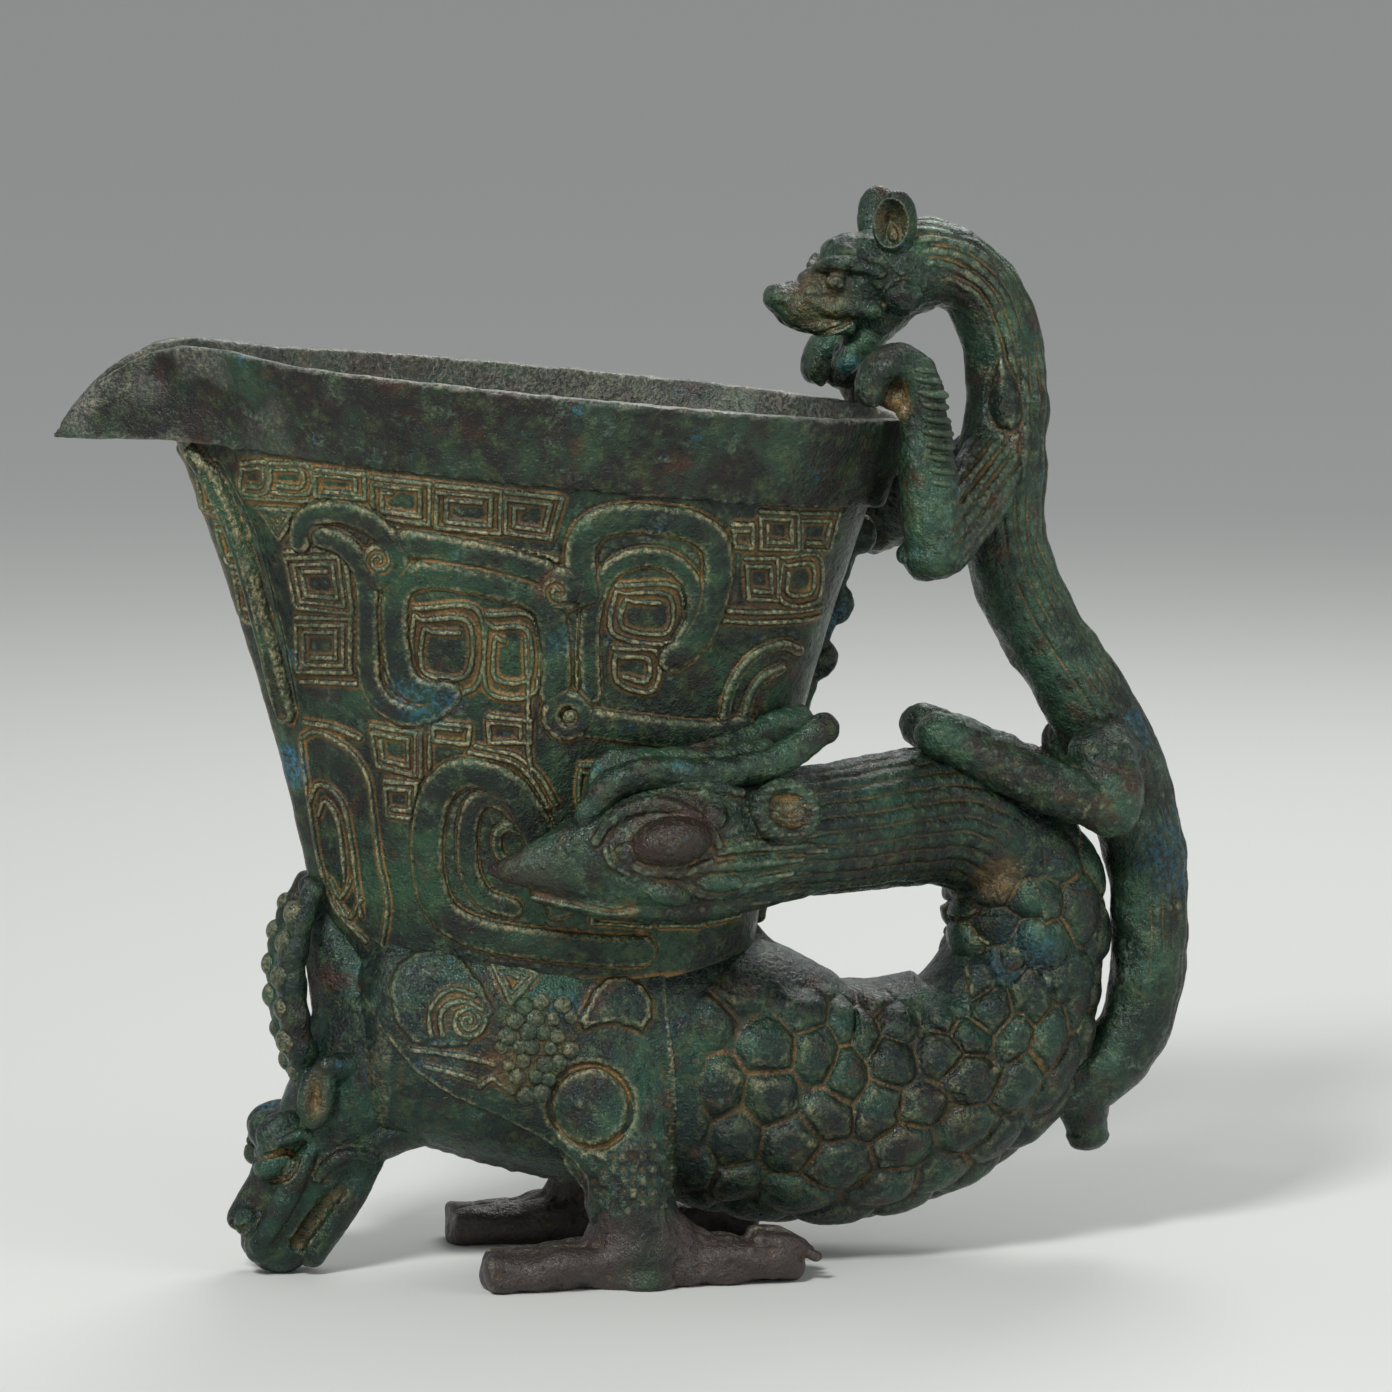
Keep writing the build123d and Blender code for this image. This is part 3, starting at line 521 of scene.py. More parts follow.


# deep is the near-black of the real pits and of the painted shade in hollows
# ridge is the pale of worn ridges and of painted highlight
commonLook = {"base": "#16211b", "green": "#2a4a33", "brown": "#261d1a", "pale": "#76947c", "blue": "#2f7d9b",
              "deep": "#0d0c0a", "earth": "#8f6f3f", "ridge": "#55664c", "rub": "#b0a27a", "foot": "#463d3b",
              "rust": "#4b2519", "moss": "#566b3f", "mossShare": 0.45, "pitShare": 0.55,
              "greenShare": 0.85, "brownShare": 0.8, "paleShare": 0.4, "blueShare": 0.55, "earthShare": 0.8,
              "ridgeShare": 0.45, "rubShare": 0.85, "rustShare": 0.55, "rough": 0.38, "metal": 0.38,
              "seed": 1}
# cast bronze under green and brown patina: dark, satin, earth in the grooves of the ornament
cupBronze = patina("patinated cup bronze", commonLook)
# smoother cast bronze, mottled brown and green, thin wear and a painted highlight on the lip
rimBronze = patina("mottled rim bronze", {
    **commonLook, "seed": 2, "base": "#1c1b18", "green": "#2c4533", "brownShare": 0.9, "paleShare": 0.55,
    "pitShare": 0.25, "ridge": "#66716a", "rub": "#a39a88"})
# pale grey-green inside of the cup, dull and chalky
liningBronze = patina("pale cup lining", {
    **commonLook, "seed": 6, "base": "#3a453f", "green": "#4d6355", "brown": "#403a38", "pale": "#8fa396",
    "paleShare": 0.6, "rough": 0.5})
# darker blue-green bronze with ochre in the seams
birdBronze = patina("blue-green bird bronze", {
    **commonLook, "seed": 3, "base": "#14231f", "green": "#234637", "rough": 0.32, "earthShare": 0.62})
# brown-violet worn bronze of the feet, dry and grainy
footBronze = patina("brown foot bronze", {
    **commonLook, "seed": 4, "pale": "#7b7470", "rough": 0.44, "blueShare": 0.1, "mossShare": 0.1})
# paler green bronze, its ridges paled by rubbing and by a painted highlight
handleBronze = patina("pale green handle bronze", {
    **commonLook, "seed": 5, "base": "#1b2a22", "green": "#33523f", "foot": "#3b2823", "paleShare": 0.65,
    "ridge": "#7c8d75", "ridgeShare": 0.6, "rough": 0.34})
print("stage: materials")

# Cup wall: an egg in plan that flares upwards
cup = {"length": 108.0, "width": 67.0, "middle": -13.0, "height": 85.8, "baseLength": 62.0, "baseWidth": 32.0,
       "base": 40.0, "foot": 43.0, "bandFoot": 112.9, "slope": 0.105, "lap": 2.0, "wall": 2.6,
       "lengthFlare": 1.45, "widthFlare": 1.2, "step": 0.24, "girth": 122, "rise": 76, "backRows": 12,
       "backColumns": 40, "mostTriangles": 195000, "relief": (0.13, 10, 0.1)}
eggPlan = [(0, 0), (0.065, 0.30), (0.12, 0.48), (0.213, 0.70), (0.361, 0.91), (0.546, 1.0), (0.73, 0.955),
           (0.88, 0.77), (0.963, 0.47), (1.0, 0)]


def eggLine(count):
    # near half of the plan from the front to the back, as shares of length and half width
    mirror = [(a, -w) for a, w in eggPlan[::-1]]
    loop = mirror[:-1] + eggPlan + mirror
    fine = smoothPath(loop[6:-6], 0.004)
    scaled = fine * (cup["length"], cup["width"] / 2)
    start = np.argmin(np.abs(fine[:, 0]) + np.abs(fine[:, 1]))
    stop = start + np.argmin(np.abs(fine[start:, 0] - 1) + np.abs(fine[start:, 1]))
    part, full = fine[start:stop + 1], scaled[start:stop + 1]
    run = runLength(full)
    marks = np.linspace(0, run[-1], count)
    line = np.stack([np.interp(marks, run, part[:, 0]), np.interp(marks, run, part[:, 1])], -1)
    line[0], line[-1] = (0, 0), (1, 0)
    return line


def cupPoints(levels, line, inset, top):
    # rows of points up the wall, each row following the slope of the band
    along, wide = line[:, 0], line[:, 1]
    x = np.full((len(levels), len(line)), cup["middle"]) + (along - 0.5) * 80
    for _ in range(12):
        z = cup["foot"] + levels[:, None] * (top - cup["slope"] * x - cup["foot"])
        share = np.clip((z - cup["base"]) / cup["height"], 0, 2)
        length = cup["baseLength"] + (cup["length"] - cup["baseLength"]) * share ** cup["lengthFlare"]
        width = cup["baseWidth"] + (cup["width"] - cup["baseWidth"]) * share ** cup["widthFlare"]
        x = cup["middle"] + (along - 0.5) * (length - 2 * inset)
    return np.stack([x, -wide * (width / 2 - inset), z], -1)


def cupHalf(name, side):
    top = cup["bandFoot"] + cup["lap"]
    columns, rows = [int(cup[key] / (cup["step"] * coarse)) for key in ("girth", "rise")]
    backColumns, backRows = cup["backColumns"], cup["backRows"]
    outer = cupPoints(np.linspace(0, 1, rows), eggLine(columns), 0.0, top)
    inner = cupPoints(np.linspace(0, 1, backRows), eggLine(backColumns), cup["wall"] / 2, top)
    # the back is coarse and is sewn to the edge of the fine front
    front, back = outer.reshape(-1, 3), inner.reshape(-1, 3)
    faces = gridFaces(rows, columns, False)
    start = len(front)
    faces += [[i + start for i in face[::-1]] for face in gridFaces(backRows, backColumns, False)]
    fineEdges, coarseEdges = [
        [first + np.arange(across), first + (down - 1) * across + np.arange(across),
         first + np.arange(down) * across, first + np.arange(down) * across + across - 1]
        for first, down, across in ((0, rows, columns), (start, backRows, backColumns))]
    for edge, (fine, plain) in enumerate(zip(fineEdges, coarseEdges)):
        owner = np.minimum((np.arange(len(fine)) * len(plain)) // len(fine), len(plain) - 1)
        turned = edge in (1, 2)
        for i in range(len(fine) - 1):
            face = [plain[owner[i]], fine[i + 1], fine[i]]
            if owner[i + 1] != owner[i]:
                faces.append([plain[owner[i]], plain[owner[i + 1]], fine[i + 1]][::-1 if turned else 1])
            faces.append(face[::-1] if turned else face)
    part = {"points": np.vstack([front, back]), "faces": [[int(i) for i in face] for face in faces]}
    piece = makePiece(name, [part if side < 0 else flipped(part)])
    return piece, rows * columns


cupNear, cupCount = cupHalf("cup_wall_near", -1)
cupFar, _ = cupHalf("cup_wall_far", 1)

# Bird body: a deep tube under the cup that turns up into the neck
birdBody = {"stations": [(-35, 0, 35.0, 13.6, 15.6, 2.5), (-26, 0, 34.6, 16.4, 16.9, 2.6),
                         (-14, 0, 32.7, 17.9, 18.4, 2.7), (10, 0, 28.5, 17.9, 19.9, 2.6),
                         (31, 0, 22.9, 16.5, 17.1, 2.3), (50.5, 0, 29, 14, 14.5, 2.1),
                         (58, 0, 43, 10.8, 10.8, 2.0), (58.4, 0, 47, 9.5, 9.5, 2.0)],
            "step": 0.36, "around": 280, "relief": (0.42, 10),
            # where the scales begin along the body, and where they end under the cup and the neck
            "scalesFrom": (5, 11), "scalesTop": (44, 50), "topReach": 40, "cupEdge": (0.5, 4.0),
            "cupLine": (41.0, 0.15), "cupReach": 48, "ground": 0.5}
bodyForm = tube(birdBody["stations"], birdBody["step"] * coarse, int(birdBody["around"] / coarse),
                startCap=0.5)
bodyPiece = makePiece("bird_body_skin", [bodyForm])

# Breast, thighs and the flare under the cup: one skin over the front of the body
breast = {"lift": 0.55, "skin": (0.32, 14), "relief": (0.2, 10), "plateDrop": 0.8, "featherRise": 0.28,
          "dropRise": 0.55, "commaRise": 1.05, "line": (0.5, 0.5), "grain": 0.16,
          # feathers lie behind and above these pixels, below this height
          "featherFrom": (664, 670), "featherTo": (1185, 1195), "featherTop": 38, "grainFrom": (1125, 1150),
          "stains": [("blue", (-30, -16, 33), 5.0, 0.22), ("blue", (-12, -19, 40), 3.5, 0.35)],
          "pairStains": [("earth", (-17, -19.4, 33), 8.0, 0.35)], "back": (4.6, 0, 29.4, 17.9, 19.7, 2.65),
          "thigh": [(-6.5, -10.5, 40, 7.0, 13.5), (-6, -12.6, 31, 7.0, 12.0), (-4.4, -14.8, 22, 6.4, 9.4),
                    (-3.0, -16.8, 15.5, 5.8, 7.0), (-2.5, -17.5, 11.0, 5.6, 6.4),
                    (-2.4, -17.5, 8.0, 5.2, 6.0)],
          "flare": [(8, 0, 53.0, 7.6, 9.0), (8, 0, 49.5, 8.2, 10.0), (8, 0, 46.4, 9.2, 12.6),
                    (8, 0, 43.6, 10.6, 16.2), (8, 0, 41.0, 12.0, 20.6), (8, 0, 38.0, 12.4, 21.4)]}
frontRows = [(x, y, z, wide + breast["lift"], deep + breast["lift"], square)
             for x, y, z, wide, deep, square in birdBody["stations"][:3] + [breast["back"]]]
thighForm = tube(breast["thigh"], 0.7, 64, startCap=0.4, endCap=0.3)
breastPiece = sculpt("bird_breast_skin", [tube(frontRows, 0.7, 120, startCap=0.5, endCap=0.06), thighForm,
                                          flipped(thighForm), tube(breast["flare"], 0.7, 80, startCap=0.1)],
                     *breast["skin"])
breastSurface = surfaceOf(breastPiece)
wallSurfaces = [surfaceOf(cupNear), breastSurface, surfaceOf(bodyPiece)]
print("stage: cup and body forms")


def keySpiral(corners, turns, rounded):
    # a square spiral in a box given by its four corners, from the outside in
    a, b, c, d = [np.array(p, float) for p in corners]
    path = []
    pitch = 0.5 / (turns + 0.4)
    low = 0.0
    for ring in range(int(math.ceil(turns))):
        edge = ring * pitch
        path += [(edge if ring else 0.0, low), (1 - edge, edge), (1 - edge, 1 - edge), (edge, 1 - edge)]
        low = edge + pitch
        path.append((edge, low))
    path = path[:max(3, int(turns * 4) + 1)]
    mapped = [(1 - v) * ((1 - u) * a + u * b) + v * ((1 - u) * d + u * c) for u, v in path]
    return (smoothPath if rounded else straightPath)(mapped, 1.2)


def triangleSpiral(corners, turns):
    points = np.array(corners, float)
    middle = points.mean(0)
    path = []
    for step in range(int(turns * 3) + 1):
        path.append(middle + (points[step % 3] - middle) * (1 - step / (turns * 3 + 1.5)))
    return straightPath(path, 1.2)


def roundSpiral(centre, radius, turns, start=0.0):
    angle = np.linspace(0, turns * 2 * math.pi, int(turns * 40))
    size = radius * (1 - 0.92 * angle / angle[-1])
    return np.stack([centre[0] + size * np.cos(angle + start), centre[1] + size * np.sin(angle + start)], -1)


# Ribbons of the cup's ornament: pixels of the photo, half width and rise in millimetres
ribbons = {
    "flange": ([(196, 452), (215, 482), (232, 520), (247, 560), (259, 605), (271, 650), (282, 695),
                (288, 714)], 1.35, 1.6),
    "hookArch": ([(301, 540), (305, 522), (320, 512), (345, 512), (370, 521), (388, 537), (399, 557),
                  (394, 574), (381, 578)], 1.85, 0.85),
    "innerArm": ([(322, 536), (342, 543), (358, 559), (367, 580), (369, 620), (369, 655), (371, 680),
                  (381, 700), (402, 713), (425, 712), (443, 702)], 1.8, 0.8),
    "topBar": ([(410, 543), (440, 547), (475, 554), (510, 562), (541, 571)], 2.1, 0.8),
    "nRibbon": ([(447, 694), (424, 692), (407, 681), (398, 658), (395, 620), (397, 594), (407, 580),
                 (430, 574), (465, 578), (500, 585), (530, 595), (548, 610), (555, 640), (556, 672),
                 (554, 692)], 2.15, 0.85),
    "curlRing": ([(567 + 17 * math.cos(a), 714 + 17 * math.sin(a)) for a in np.linspace(2.6, 8.4, 30)],
                 1.35, 1.0),
    "barRight": ([(588, 722), (620, 727), (655, 731), (690, 735), (715, 735), (742, 728)], 2.3, 0.8),
    "outerC": ([(586, 592), (580, 566), (583, 541), (597, 524), (625, 518), (660, 519), (690, 525),
                (711, 539), (718, 560), (715, 590), (705, 621), (690, 644), (673, 657)], 2.3, 0.95),
    "innerC": ([(591, 694), (589, 650), (591, 614), (601, 584), (616, 566), (640, 557), (666, 560),
                (686, 575), (695, 597), (693, 622), (680, 646)], 1.55, 0.6),
    "lowerC": ([(640, 951), (600, 950), (540, 944), (490, 936), (455, 922), (436, 900), (428, 865),
                (428, 830), (434, 800), (446, 781), (465, 772), (490, 777), (514, 792), (530, 815),
                (540, 838)], 2.4, 0.95),
    "lowerMid": ([(512, 908), (484, 897), (470, 872), (467, 840), (471, 812), (484, 798), (503, 801),
                  (519, 815)], 1.55, 0.6),
    "lowerHook": ([(508, 864), (498, 850), (498, 834), (508, 826), (524, 832)], 0.8, 0.45),
    "backRib": ([(724, 716), (728, 694), (740, 670), (757, 653), (781, 645), (798, 650)], 0.9, 0.6),
    "backRibIn": ([(744, 718), (750, 696), (762, 678), (780, 668)], 0.9, 0.6),
    "hiddenArm": ([(560, 905), (556, 880), (566, 862), (590, 858), (640, 866), (690, 866), (722, 850),
                   (735, 822), (728, 796), (705, 784), (670, 782), (640, 786)], 2.0, 0.9),
    "hiddenHook": ([(620, 818), (630, 834), (655, 838), (680, 830)], 1.2, 0.6),
}
buttons = {"left": ((381, 558), 17, 1.1), "right": ((562, 588), 23, 1.2), "curl": ((571, 716), 8, 0.6)}
# a deep slit beside the front flange, and spirals cut into the buttons
frontSlot = [(216, 470), (236, 510), (254, 552), (267, 600), (278, 646), (287, 690), (291, 712)]
buttonCuts = [roundSpiral((381, 558), 12, 1.4, 2.0), roundSpiral((557, 589), 13, 1.2, 1.0)]
keyBoxes = {
    "rowA": ([(243, 463), (268, 463), (268, 491), (243, 491)], 2.2, True),
    "rowB": ([(272, 463), (309, 466), (309, 492), (272, 490)], 2.2, True),
    "rowC": ([(316, 469), (365, 474), (366, 498), (316, 496)], 2.2, False),
    "rowD": ([(372, 477), (430, 484), (430, 524), (374, 516)], 2.6, False),
    "rowE": ([(437, 485), (501, 491), (500, 533), (436, 527)], 2.8, False),
    "rowF": ([(506, 492), (562, 498), (550, 538), (505, 532)], 2.5, False),
    "rowG": ([(760, 511), (797, 513), (797, 549), (760, 548)], 2.4, False),
    "rowH": ([(801, 513), (838, 513), (828, 550), (800, 549)], 2.2, False),
    "rowK": ([(733, 524), (752, 524), (752, 548), (734, 546)], 1.6, False),
    "hiddenA": ([(660, 885), (705, 885), (700, 925), (660, 925)], 2.6, False),
    "hiddenB": ([(712, 880), (748, 872), (738, 915), (708, 922)], 2.4, False),
    "hiddenC": ([(590, 890), (650, 892), (650, 926), (592, 922)], 2.6, False),
    "hiddenD": ([(580, 765), (625, 768), (615, 808), (582, 806)], 2.4, True),
    "middleA": ([(434, 722), (470, 726), (468, 744), (434, 740)], 1.6, False),
    "middleB": ([(488, 716), (530, 720), (530, 742), (490, 742)], 1.8, False),
    "rowI": ([(746, 558), (776, 558), (776, 600), (748, 598)], 2.2, False),
    "rowJ": ([(781, 557), (818, 556), (815, 600), (781, 601)], 2.3, True),
    "dShape": ([(285, 551), (345, 549), (353, 613), (297, 607)], 4.0, False),
    "square": ([(297, 617), (351, 618), (351, 672), (298, 671)], 3.4, False),
    "small": ([(372, 725), (416, 733), (416, 775), (378, 765)], 2.4, False),
    "smallLow": ([(386, 781), (417, 783), (415, 818), (388, 815)], 2.2, False),
    "nestLeft": ([(414, 608), (478, 611), (476, 686), (416, 682)], 2.9, True),
    "nestRight": ([(487, 614), (535, 620), (536, 690), (488, 690)], 2.6, True),
    "oval": ([(616, 585), (678, 588), (676, 640), (614, 634)], 2.9, True),
    "ovalLow": ([(614, 648), (657, 652), (652, 690), (618, 682)], 2.0, True),
    "panelA": ([(196, 470), (222, 486), (229, 512), (206, 510)], 2.0, False),
    "panelB": ([(216, 522), (242, 526), (249, 562), (229, 562)], 2.0, True),
    "panelC": ([(234, 572), (252, 576), (259, 616), (245, 618)], 2.0, True),
}
thinLines = {
    "underRow": [(405, 533), (440, 537), (480, 543), (520, 551), (556, 559)],
    "rowBase": [(246, 497), (280, 499), (308, 501)],
    "leafLeft": [(302, 742), (306, 775), (312, 815), (320, 860), (335, 905), (366, 941)],
    "leafRight": [(303, 737), (318, 731), (340, 742), (358, 758), (369, 780), (374, 815), (380, 860),
                  (388, 905), (382, 952)],
    "leafInner": [(311, 800), (318, 785), (332, 788), (345, 806), (352, 840), (357, 880), (362, 915)],
    "leafCore": [(319, 815), (326, 801), (337, 815), (343, 845), (346, 880)],
    "leafChevron": [(331, 880), (341, 897), (352, 880)],
    "leafChevronLow": [(338, 900), (350, 917), (362, 900)],
    "lowerTwin": [(470, 752), (505, 759), (521, 767), (534, 782), (548, 808)],
    "lowerTwinOut": [(476, 746), (512, 754), (528, 764), (542, 779), (556, 804)],
    "bars": [(421, 733), (421, 776)],
    "barsRight": [(430, 736), (430, 768)],
    "panelTop": [(302, 681), (330, 682), (356, 684)],
    "panelFoot": [(305, 722), (335, 727), (360, 738)],
    "middleBarA": [(526, 640), (528, 690), (528, 745), (532, 775)],
    "middleBarB": [(580, 620), (579, 650), (578, 690)],
    "hookTwin": [(314, 505), (345, 503), (376, 512), (396, 528)],
    "outerTwin": [(578, 530), (594, 513), (625, 507), (662, 508), (698, 514), (722, 530), (729, 556)],
    "backTwin": [(722, 610), (760, 612), (800, 610), (820, 606)],
    "backTwinLow": [(720, 620), (760, 622), (800, 620), (818, 616)],
}
bodyLines = {
    "dropArm": [(432, 1036), (430, 1014), (440, 997), (456, 990), (474, 996)],
    "dropArmIn": [(443, 1034), (441, 1016), (450, 1004), (466, 1002), (482, 1010)],
    "featherA": [(412, 1050), (440, 1053), (470, 1058), (494, 1064)],
    "featherB": [(424, 1066), (450, 1072), (476, 1080)],
    "featherC": [(480, 1086), (492, 1078), (500, 1084), (512, 1092)],
    "thighKey": [(676, 974), (694, 972), (710, 978), (712, 996), (696, 1002), (684, 996), (686, 984)],
    "thighKeyLow": [(672, 1012), (692, 1010), (708, 1016)],
}
breastOutline = [(330, 925), (338, 950), (352, 980), (380, 1030), (415, 1072), (455, 1099), (500, 1117),
                 (548, 1142), (574, 1162), (586, 1180), (588, 1240), (684, 1240), (676, 1190), (680, 1150),
                 (676, 1075), (668, 1000), (664, 950), (664, 925)]
dropOutline = [(387, 985), (396, 963), (416, 951), (440, 947), (464, 958), (482, 982), (496, 1010),
               (486, 1034), (468, 1047), (440, 1050), (412, 1045), (393, 1022)]
commaOutline = [(576, 1020), (583, 1008), (592, 989), (606, 978), (625, 976), (643, 985), (652, 1000),
                (652, 1018), (642, 1034), (630, 1028), (615, 1024), (597, 1026), (583, 1031)]
disc = {"pixel": (590, 1107), "radius": 5.5, "rise": 0.8, "groove": 0.75}


def joinLines(lines):
    found = [drawnLine(wallSurfaces, line) for line in lines]
    return mirrored(np.vstack([line for line in found if len(line)]))


ribbonMarks = {key: mirrored(drawnLine(wallSurfaces, smoothPath(path, 1.5)))
               for key, (path, _, _) in ribbons.items()}
lineMarks = joinLines([keySpiral(*box) for box in keyBoxes.values()]
                      + [smoothPath(line, 1.2) for line in thinLines.values()]
                      + [triangleSpiral([(256, 507), (300, 509), (281, 543)], 3.0)])
bodyMarks = joinLines([smoothPath(line, 1.2) for line in bodyLines.values()]
                      + [roundSpiral((469, 1021), 17, 2.2),
                         triangleSpiral([(482, 955), (540, 974), (511, 1010)], 2.6)])
slotMarks = joinLines([smoothPath(frontSlot, 1.5)])
buttonMarks = joinLines(buttonCuts)
print("stage: ornament lines")

ornament = {"swell": 1.2, "buttonStep": 0.35, "grooveAt": 0.3, "grooveHalf": 0.28, "grooveDepth": 0.4,
            "line": (0.54, 0.62), "buttonCut": (0.45, 0.4), "slot": (1.5, 0.9)}


def ornamentHeights(points):
    heights = np.zeros(len(points))
    ground = np.full(len(points), farAway)
    for key, (_, half, rise) in ribbons.items():
        distance = distanceTo(points, ribbonMarks[key], half * 1.8)
        swell = ornament["swell"] * rise * np.sqrt(np.clip(1 - (distance / half) ** 3, 0, 1))
        heights = np.maximum(heights, swell)
        ground = np.minimum(ground, distance - half)
    for pixel, radius, rise in buttons.values():
        size = radius / view["pixelsPerMm"]
        distance = distanceTo(points, bothSpots(wallSurfaces, pixel), size * 1.5)
        dome = ornament["buttonStep"] + rise * np.sqrt(np.clip(1 - (distance / size) ** 2, 0, 1))
        heights = np.maximum(heights, dome * (distance < size))
        ground = np.minimum(ground, distance - size)
    # a narrow groove runs beside every ribbon
    heights -= ornament["grooveDepth"] * bell(ground - ornament["grooveAt"], ornament["grooveHalf"])
    line = lineHeights(points, lineMarks, *ornament["line"])
    heights = np.where(ground > 0.15, np.maximum(heights, line), heights)
    heights -= lineHeights(points, buttonMarks, *ornament["buttonCut"])
    return heights - lineHeights(points, slotMarks, *ornament["slot"])


# pixel, radius and strength of the blue stains
cupStains = [((290, 765), 4.5, 0.9), ((425, 705), 5.0, 0.45), ((448, 698), 3.0, 0.45), ((296, 660), 2.0, 0.6),
             ((404, 690), 3.0, 0.5), ((560, 640), 3.0, 0.3)]
for cupPiece in (cupNear, cupFar):
    points, _ = meshPoints(cupPiece)
    fine = points[:cupCount]
    heights = np.zeros(len(points))
    heights[:cupCount] = ornamentHeights(fine) + 0.05 * np.sin(fine[:, 0] * 0.9) * np.sin(fine[:, 2] * 0.7)
    raiseBy(cupPiece, heights)
    dress(cupPiece, cup, ["cup_wall"], "cup_bronze", cupBronze,
          [("blue", place, size, strength) for pixel, size, strength in cupStains
           for place in bothSpots(wallSurfaces, pixel)], most=cup["mostTriangles"])

# Ridge up the back of the cup with hooked knobs
backFlange = {"knobs": (104.0, 93.8, 85.6, 76.5, 67.5), "thick": 1.3, "knob": (1.7, 2.3, 3.0),
              "skin": (0.26, 4), "relief": (0.2, 8, 0.3)}
backLine = cupPoints(np.linspace(0.1, 0.98, 30), np.array([(1.0, 0.0)]), 0.3, cup["bandFoot"])[:, 0]
flangeParts = [tube([tuple(p) + (backFlange["thick"], backFlange["thick"]) for p in backLine[::3]], 0.5, 28)]
for level in backFlange["knobs"]:
    spot = backLine[np.argmin(np.abs(backLine[:, 2] - level))]
    flangeParts.append(ball(spot + (0.9, 0, 0), backFlange["knob"], (0.35, 0, 1)))
flangePiece = sculpt("cup_back_flange", flangeParts, *backFlange["skin"])
flangeStain = ("blue", (backLine[18][0] + 2, 0, 93), 4.0, 0.7)
dress(flangePiece, backFlange, [], "cup_bronze", cupBronze, [flangeStain])
print("stage: cup walls", len(cupNear.data.polygons), len(cupFar.data.polygons))

# Scales of the bird: staggered domes that meet in narrow grooves
scales = {"along": 7.7, "across": 13.2, "rise": 0.85, "dome": 0.95, "girth": 16.8, "size": 4.4}


def scaleHeights(along, across):
    nearest = np.full(len(along), farAway)
    second = np.full(len(along), farAway)
    row = np.round(across / (scales["across"] / 2))
    for step in (-2, -1, 0, 1, 2):
        line = row + step
        shift = (line % 2) * scales["along"] / 2
        column = np.round((along - shift) / scales["along"])
        for side in (-1, 0, 1):
            spot = shift + (column + side) * scales["along"]
            uneven = 1.1 * np.sin(line * 2.3 + (column + side) * 1.7)
            stray = 1.0 * np.sin(line * 1.3 + (column + side) * 2.9)
            distance = np.hypot(along - spot - uneven, across - line * scales["across"] / 2 - stray)
            second = np.where(distance < nearest, nearest, np.minimum(second, distance))
            nearest = np.minimum(nearest, distance)
    edge = 1 - np.exp(-(second - nearest) / 1.1)
    edge = np.minimum(edge, np.clip(1.05 - (nearest / scales["size"]) ** 4, 0, 1))
    dome = np.clip(1 - (nearest / scales["size"]) ** 2, 0, 1)
    return scales["rise"] * edge ** 0.7 + scales["dome"] * dome * edge


bodyPoints, _ = meshPoints(bodyPiece)
bodyAlong, bodyTurn = spineCoordinates(bodyPoints, bodyForm["frames"])
bodyX, bodyZ = bodyPoints[:, 0], bodyPoints[:, 2]
cupLevel, cupFall = birdBody["cupLine"]
aboveCup = bodyZ - (cupLevel - cupFall * bodyX)
scaleZone = smoothStep(*birdBody["scalesFrom"], bodyX)
scaleZone *= 1 - smoothStep(*birdBody["scalesTop"], bodyZ) * (bodyX < birdBody["topReach"])
scaleZone *= 1 - smoothStep(*birdBody["cupEdge"], aboveCup) * (bodyX < birdBody["cupReach"])
bodyScales = scaleHeights(bodyAlong, bodyTurn * scales["girth"])
raiseBy(bodyPiece, scaleZone * bodyScales - birdBody["ground"] * scaleZone)
dress(bodyPiece, birdBody, ["bird_body"], "bird_bronze", birdBronze)

breastPoints, breastNormals = meshPoints(breastPiece)
breastPixels = photoPixels(breastPoints)
breastX, breastY = breastPixels.T
sideways = np.abs(breastNormals[:, 1])
plate = outlineDistance(breastPixels, breastOutline)
feathers = smoothStep(*breast["featherFrom"], breastX) * (1 - smoothStep(*breast["featherTo"], breastY))
feathers *= breastPoints[:, 2] < breast["featherTop"]
below = np.maximum(smoothStep(0.05, 0.3, sideways), smoothStep(-31, -34, breastPoints[:, 0]))
breastHeights = -breast["plateDrop"] * (1 - smoothStep(-0.35, 0.25, plate)) * below
featherLines = (groove(breastY * 0.85, 0.8) - 0.6) * smoothStep(0.3, 0.6, sideways)
breastHeights += breast["featherRise"] * feathers * featherLines
breastHeights += breast["dropRise"] * smoothStep(-0.1, 0.9, outlineDistance(breastPixels, dropOutline))
breastHeights += breast["commaRise"] * smoothStep(-0.25, 0.8, outlineDistance(breastPixels, commaOutline))
discSpot = bothSpots([breastSurface], disc["pixel"])
fromDisc = distanceTo(breastPoints, discSpot, disc["radius"] * 1.6)
breastHeights += disc["rise"] * np.sqrt(np.clip(1 - (fromDisc / disc["radius"]) ** 4, 0, 1))
breastHeights -= disc["groove"] * bell(fromDisc - disc["radius"] - 0.35, 0.45)
breastHeights += 0.5 * bell(distanceTo(breastPoints, discSpot + (-1.4, 0, 0.5), 4.0), 0.8)
breastHeights += np.where(plate > 0.2, lineHeights(breastPoints, bodyMarks, *breast["line"]), 0.0)
thighGrain = np.sin(breastX * 0.31) * np.sin(breastY * 0.27) * smoothStep(*breast["grainFrom"], breastY)
breastHeights += breast["grain"] * thighGrain
raiseBy(breastPiece, breastHeights)
dress(breastPiece, breast, ["bird_body"], "bird_bronze", birdBronze,
      breast["stains"] + pairOf(breast["pairStains"]),
      earth=0.5 * bell(fromDisc - disc["radius"] - 0.3, 0.5))
print("stage: bird body")

